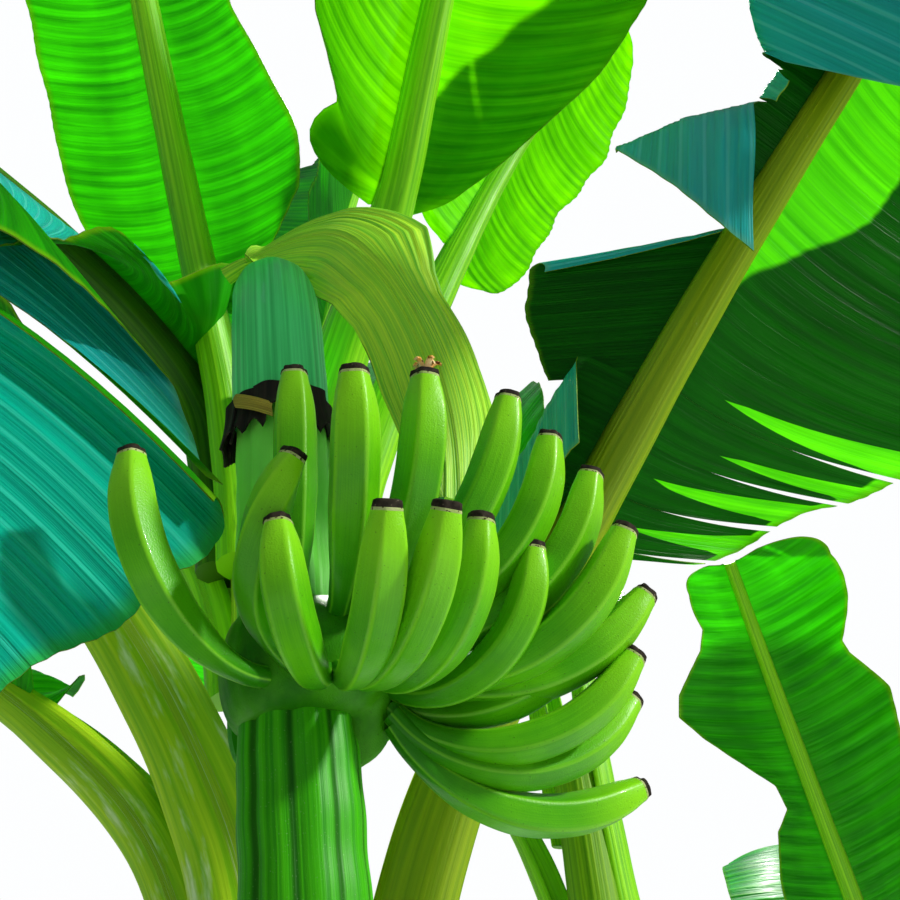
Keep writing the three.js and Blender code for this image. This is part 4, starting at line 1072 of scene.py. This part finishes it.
def add_finger(build, finger, start, seed, thick, rows=44, sides=40):
    """A finger with rounded facets, then the pale rim and the black end where its flower was."""
    frames = finger_frames(finger, start, rows)
    s = shares(rows)[:, None]
    facet = FULL_TURN / FACETS
    phase = np.random.default_rng(seed).uniform(0, facet)
    turn = -circle(sides)
    body = smooth((s - 0.14) / 0.16) * (1 - 0.5 * smooth((s - 0.86) / 0.12))
    wedge = (turn - phase) % facet - facet / 2
    angular = 1.08 * math.cos(facet / 2) / np.cos(wedge)
    radius = thick * soft_along(FINGER_PROFILE, s, reach=0.02) * mix(1, angular, 0.85 * body)
    rings = frames.placed(radius * np.cos(turn), radius * np.sin(turn))
    add_tube(build, rings, 0, uv_grid(s, np.abs(wedge) / (facet / 2)), caps=(True, False))
    tip = rings[-1]
    centre = tip.mean(axis=0)

    def past_tip(steps, rag):
        return [centre + (tip - centre) * shrink * rag + frames.forward[-1] * rise for shrink, rise in steps]

    rim = [tip] + past_tip(RIM_RINGS, 1)
    add_tube(build, np.array(rim), 1, caps=(False, False))
    rag = 1 + 0.12 * ripple(np.linspace(0, 1, sides, endpoint=False), [3, 5, 7], seed)
    add_tube(build, np.array([rim[-1]] + past_tip(BLACK_RINGS, rag[:, None])), 2, caps=(False, True))


def add_flower(build, finger, start):
    """The dried flower that one finger still holds: curled petals round a knob."""
    frames = finger_frames(finger, start, 44)
    tip, ahead = frames.point[-1], frames.forward[-1]
    turn = -circle(10)
    share = shares(8)[:, None]
    draw = np.random.default_rng(77)
    for k in range(PETALS):
        lean = FULL_TURN * k / PETALS + draw.uniform(-0.3, 0.3)
        out = frames.right[-1] * math.cos(lean) + frames.up[-1] * math.sin(lean)
        spread = draw.uniform(5, 11) if k else 0.5
        path = tip + ahead * (4 + 9 * np.sin(2.2 * share)) + out * (1.5 + spread * share)
        thick = 3.0 * (1 - 0.5 * share)
        across = np.broadcast_to(np.cross(out, ahead), path.shape)
        rings = placed(path, across, ahead + 0 * path, thick * np.cos(turn), 0.6 * thick * np.sin(turn))
        add_tube(build, rings, 3)


def finger_pieces():
    for level, row in enumerate((FRONT_ROW, UPPER_ROW)):
        for i, (azimuth, *finger) in enumerate(row):
            name = f"finger_{'upper' if level else 'front'}_{i + 1:02d}"
            foot = finger_foot(i, level, azimuth)
            build = Build(name + "_skin")
            add_finger(build, finger, foot, 900 + 40 * level + i, FINGER_RADIUS[level])
            if name == FLOWERED_FINGER:
                add_flower(build, finger, foot)
            build.finish([FRUIT, TIP_RIM, TIP_BLACK, FLOWER], "fruit", name)


def lower_hand_piece():
    build = Build("lower_hand_fruit")
    band = band_points(
        start=-215, end=35, z=LOWER_HAND_HEIGHT, high=52, thick=12, swell=0, drop=0, rows=60, columns=16,
        bulges=6, seed=4)
    add_tube(build, band[::-1], 0)
    for i, azimuth in enumerate(LOWER_AZIMUTHS):
        out = stalk_radius(LOWER_HAND_HEIGHT) + LOWER_FOOT_OUT
        start = round_stalk(math.radians(azimuth), out, LOWER_HAND_HEIGHT)
        add_finger(build, (azimuth, *LOWER_COURSE), start, 700 + i, FINGER_RADIUS[1], rows=30, sides=20)
    build.finish([FRUIT, TIP_RIM, TIP_BLACK], "fruit", "lower_hand")


def bud_piece(rows=60, sides=60):
    """A closed bud: overlapping pointed bracts round a cone."""
    z = np.linspace(STALK_END + 4, STALK_END - BUD_LENGTH, rows)[:, None]
    k = (STALK_END - z) / BUD_LENGTH
    flute = 1 + 0.035 * np.cos(circle(sides) * 3 + k * 5) ** 8
    build = Build("male_bud_bracts")
    add_tube(build, round_stalk(-circle(sides), soft_along(BUD_PROFILE, k, reach=0.05) * flute, z), 0)
    build.finish([BUD], "bud", "male_bud")


# Floor, light and camera
def axes_matrix(right, up, back):
    return Matrix(np.stack([right, up, back], 1).tolist()).to_4x4()


def add_floor():
    m, nt = shade("pale_floor")
    surface(m, nt, FLOOR_COLOUR, 0.9, specular=0.2)
    reach = FLOOR_REACH_METRES
    corners = [(-reach, -reach, 0), (reach, -reach, 0), (reach, reach, 0), (-reach, reach, 0)]
    mesh = bpy.data.meshes.new("floor")
    mesh.from_pydata(corners, [], [(0, 1, 2, 3)])
    mesh.materials.append(m)
    linked("floor", mesh)


def add_sky():
    """A white sky for the camera, and a dimmer bluish one that lights the plant."""
    world = bpy.data.worlds.new("studio")
    world.use_nodes = True
    wt = world.node_tree
    wt.nodes.clear()
    seen = node(wt, "ShaderNodeLightPath").outputs["Is Camera Ray"]
    lit = node(wt, "ShaderNodeBackground", {0: SKY_LIGHT, 1: SKY_STRENGTH}).outputs[0]
    back = node(wt, "ShaderNodeBackground", {0: SKY_SEEN, 1: 1.0}).outputs[0]
    both = node(wt, "ShaderNodeMixShader", {0: seen, 1: lit, 2: back}).outputs[0]
    node(wt, "ShaderNodeOutputWorld", {0: both})
    bpy.context.scene.world = world


def add_sun(name, azimuth, elevation, strength, size, colour):
    lamp = bpy.data.lights.new(name, "SUN")
    lamp.energy = strength
    lamp.angle = math.radians(size)
    lamp.color = colour
    back = unit(heading(azimuth, elevation))
    right = unit(np.cross([0, 0, 1.0], back))
    linked(name, lamp).matrix_world = axes_matrix(right, np.cross(back, right), back)


def add_camera():
    pitch = math.radians(CAMERA_PITCH)
    roll = math.radians(CAMERA_ROLL)
    level = np.array([1.0, 0, 0])
    rise = np.array([0, -math.sin(pitch), math.cos(pitch)])
    ahead = np.array([0, math.cos(pitch), math.sin(pitch)])
    data = bpy.data.cameras.new("photo_view")
    data.lens = CAMERA_LENS
    data.sensor_width = CAMERA_SENSOR
    right = math.cos(roll) * level - math.sin(roll) * rise
    up = math.sin(roll) * level + math.cos(roll) * rise
    place = axes_matrix(right, up, -ahead)
    place.translation = CAMERA_PLACE
    camera = linked("photo_view", data)
    camera.matrix_world = place
    bpy.context.scene.camera = camera
    bpy.context.scene.view_settings.view_transform = "Standard"


add_camera()
add_floor()
add_sky()
for sun in SUNS:
    add_sun(*sun)
stem_piece("pseudostem", MOTHER, 7, 220, 120, 31, STEM_PAINTED_LIGHT)
stem_piece("follower_stem", FOLLOWER, 5, 150, 80, 32, STEM_PAINTED_SHADE)
stem_piece("sucker_stem", SUCKER, 4, 120, 64, 33, STEM_PAINTED_SHADE)
for number, leaf in enumerate(LEAVES):
    leaf_piece(leaf, number)
arch_piece()
stalk_piece()
collar_piece()
band_piece(
    "hand_cushion_skin", "hand_cushion", CUSHION_PAINTED_SHADE, start=-190, end=62, z=HAND_HEIGHT + ROW_RISE / 2, high=78,
    thick=16, swell=17, drop=4 * SLOPE_STEP, rows=110, columns=24, bulges=5, seed=1)
band_piece(
    "bract_scar_lobe", "bract_scar", SCAR, start=-232, end=-192, z=HAND_HEIGHT, high=76, thick=22, swell=0,
    drop=0, rows=40, columns=20, bulges=1, seed=2)
finger_pieces()
lower_hand_piece()
bud_piece()
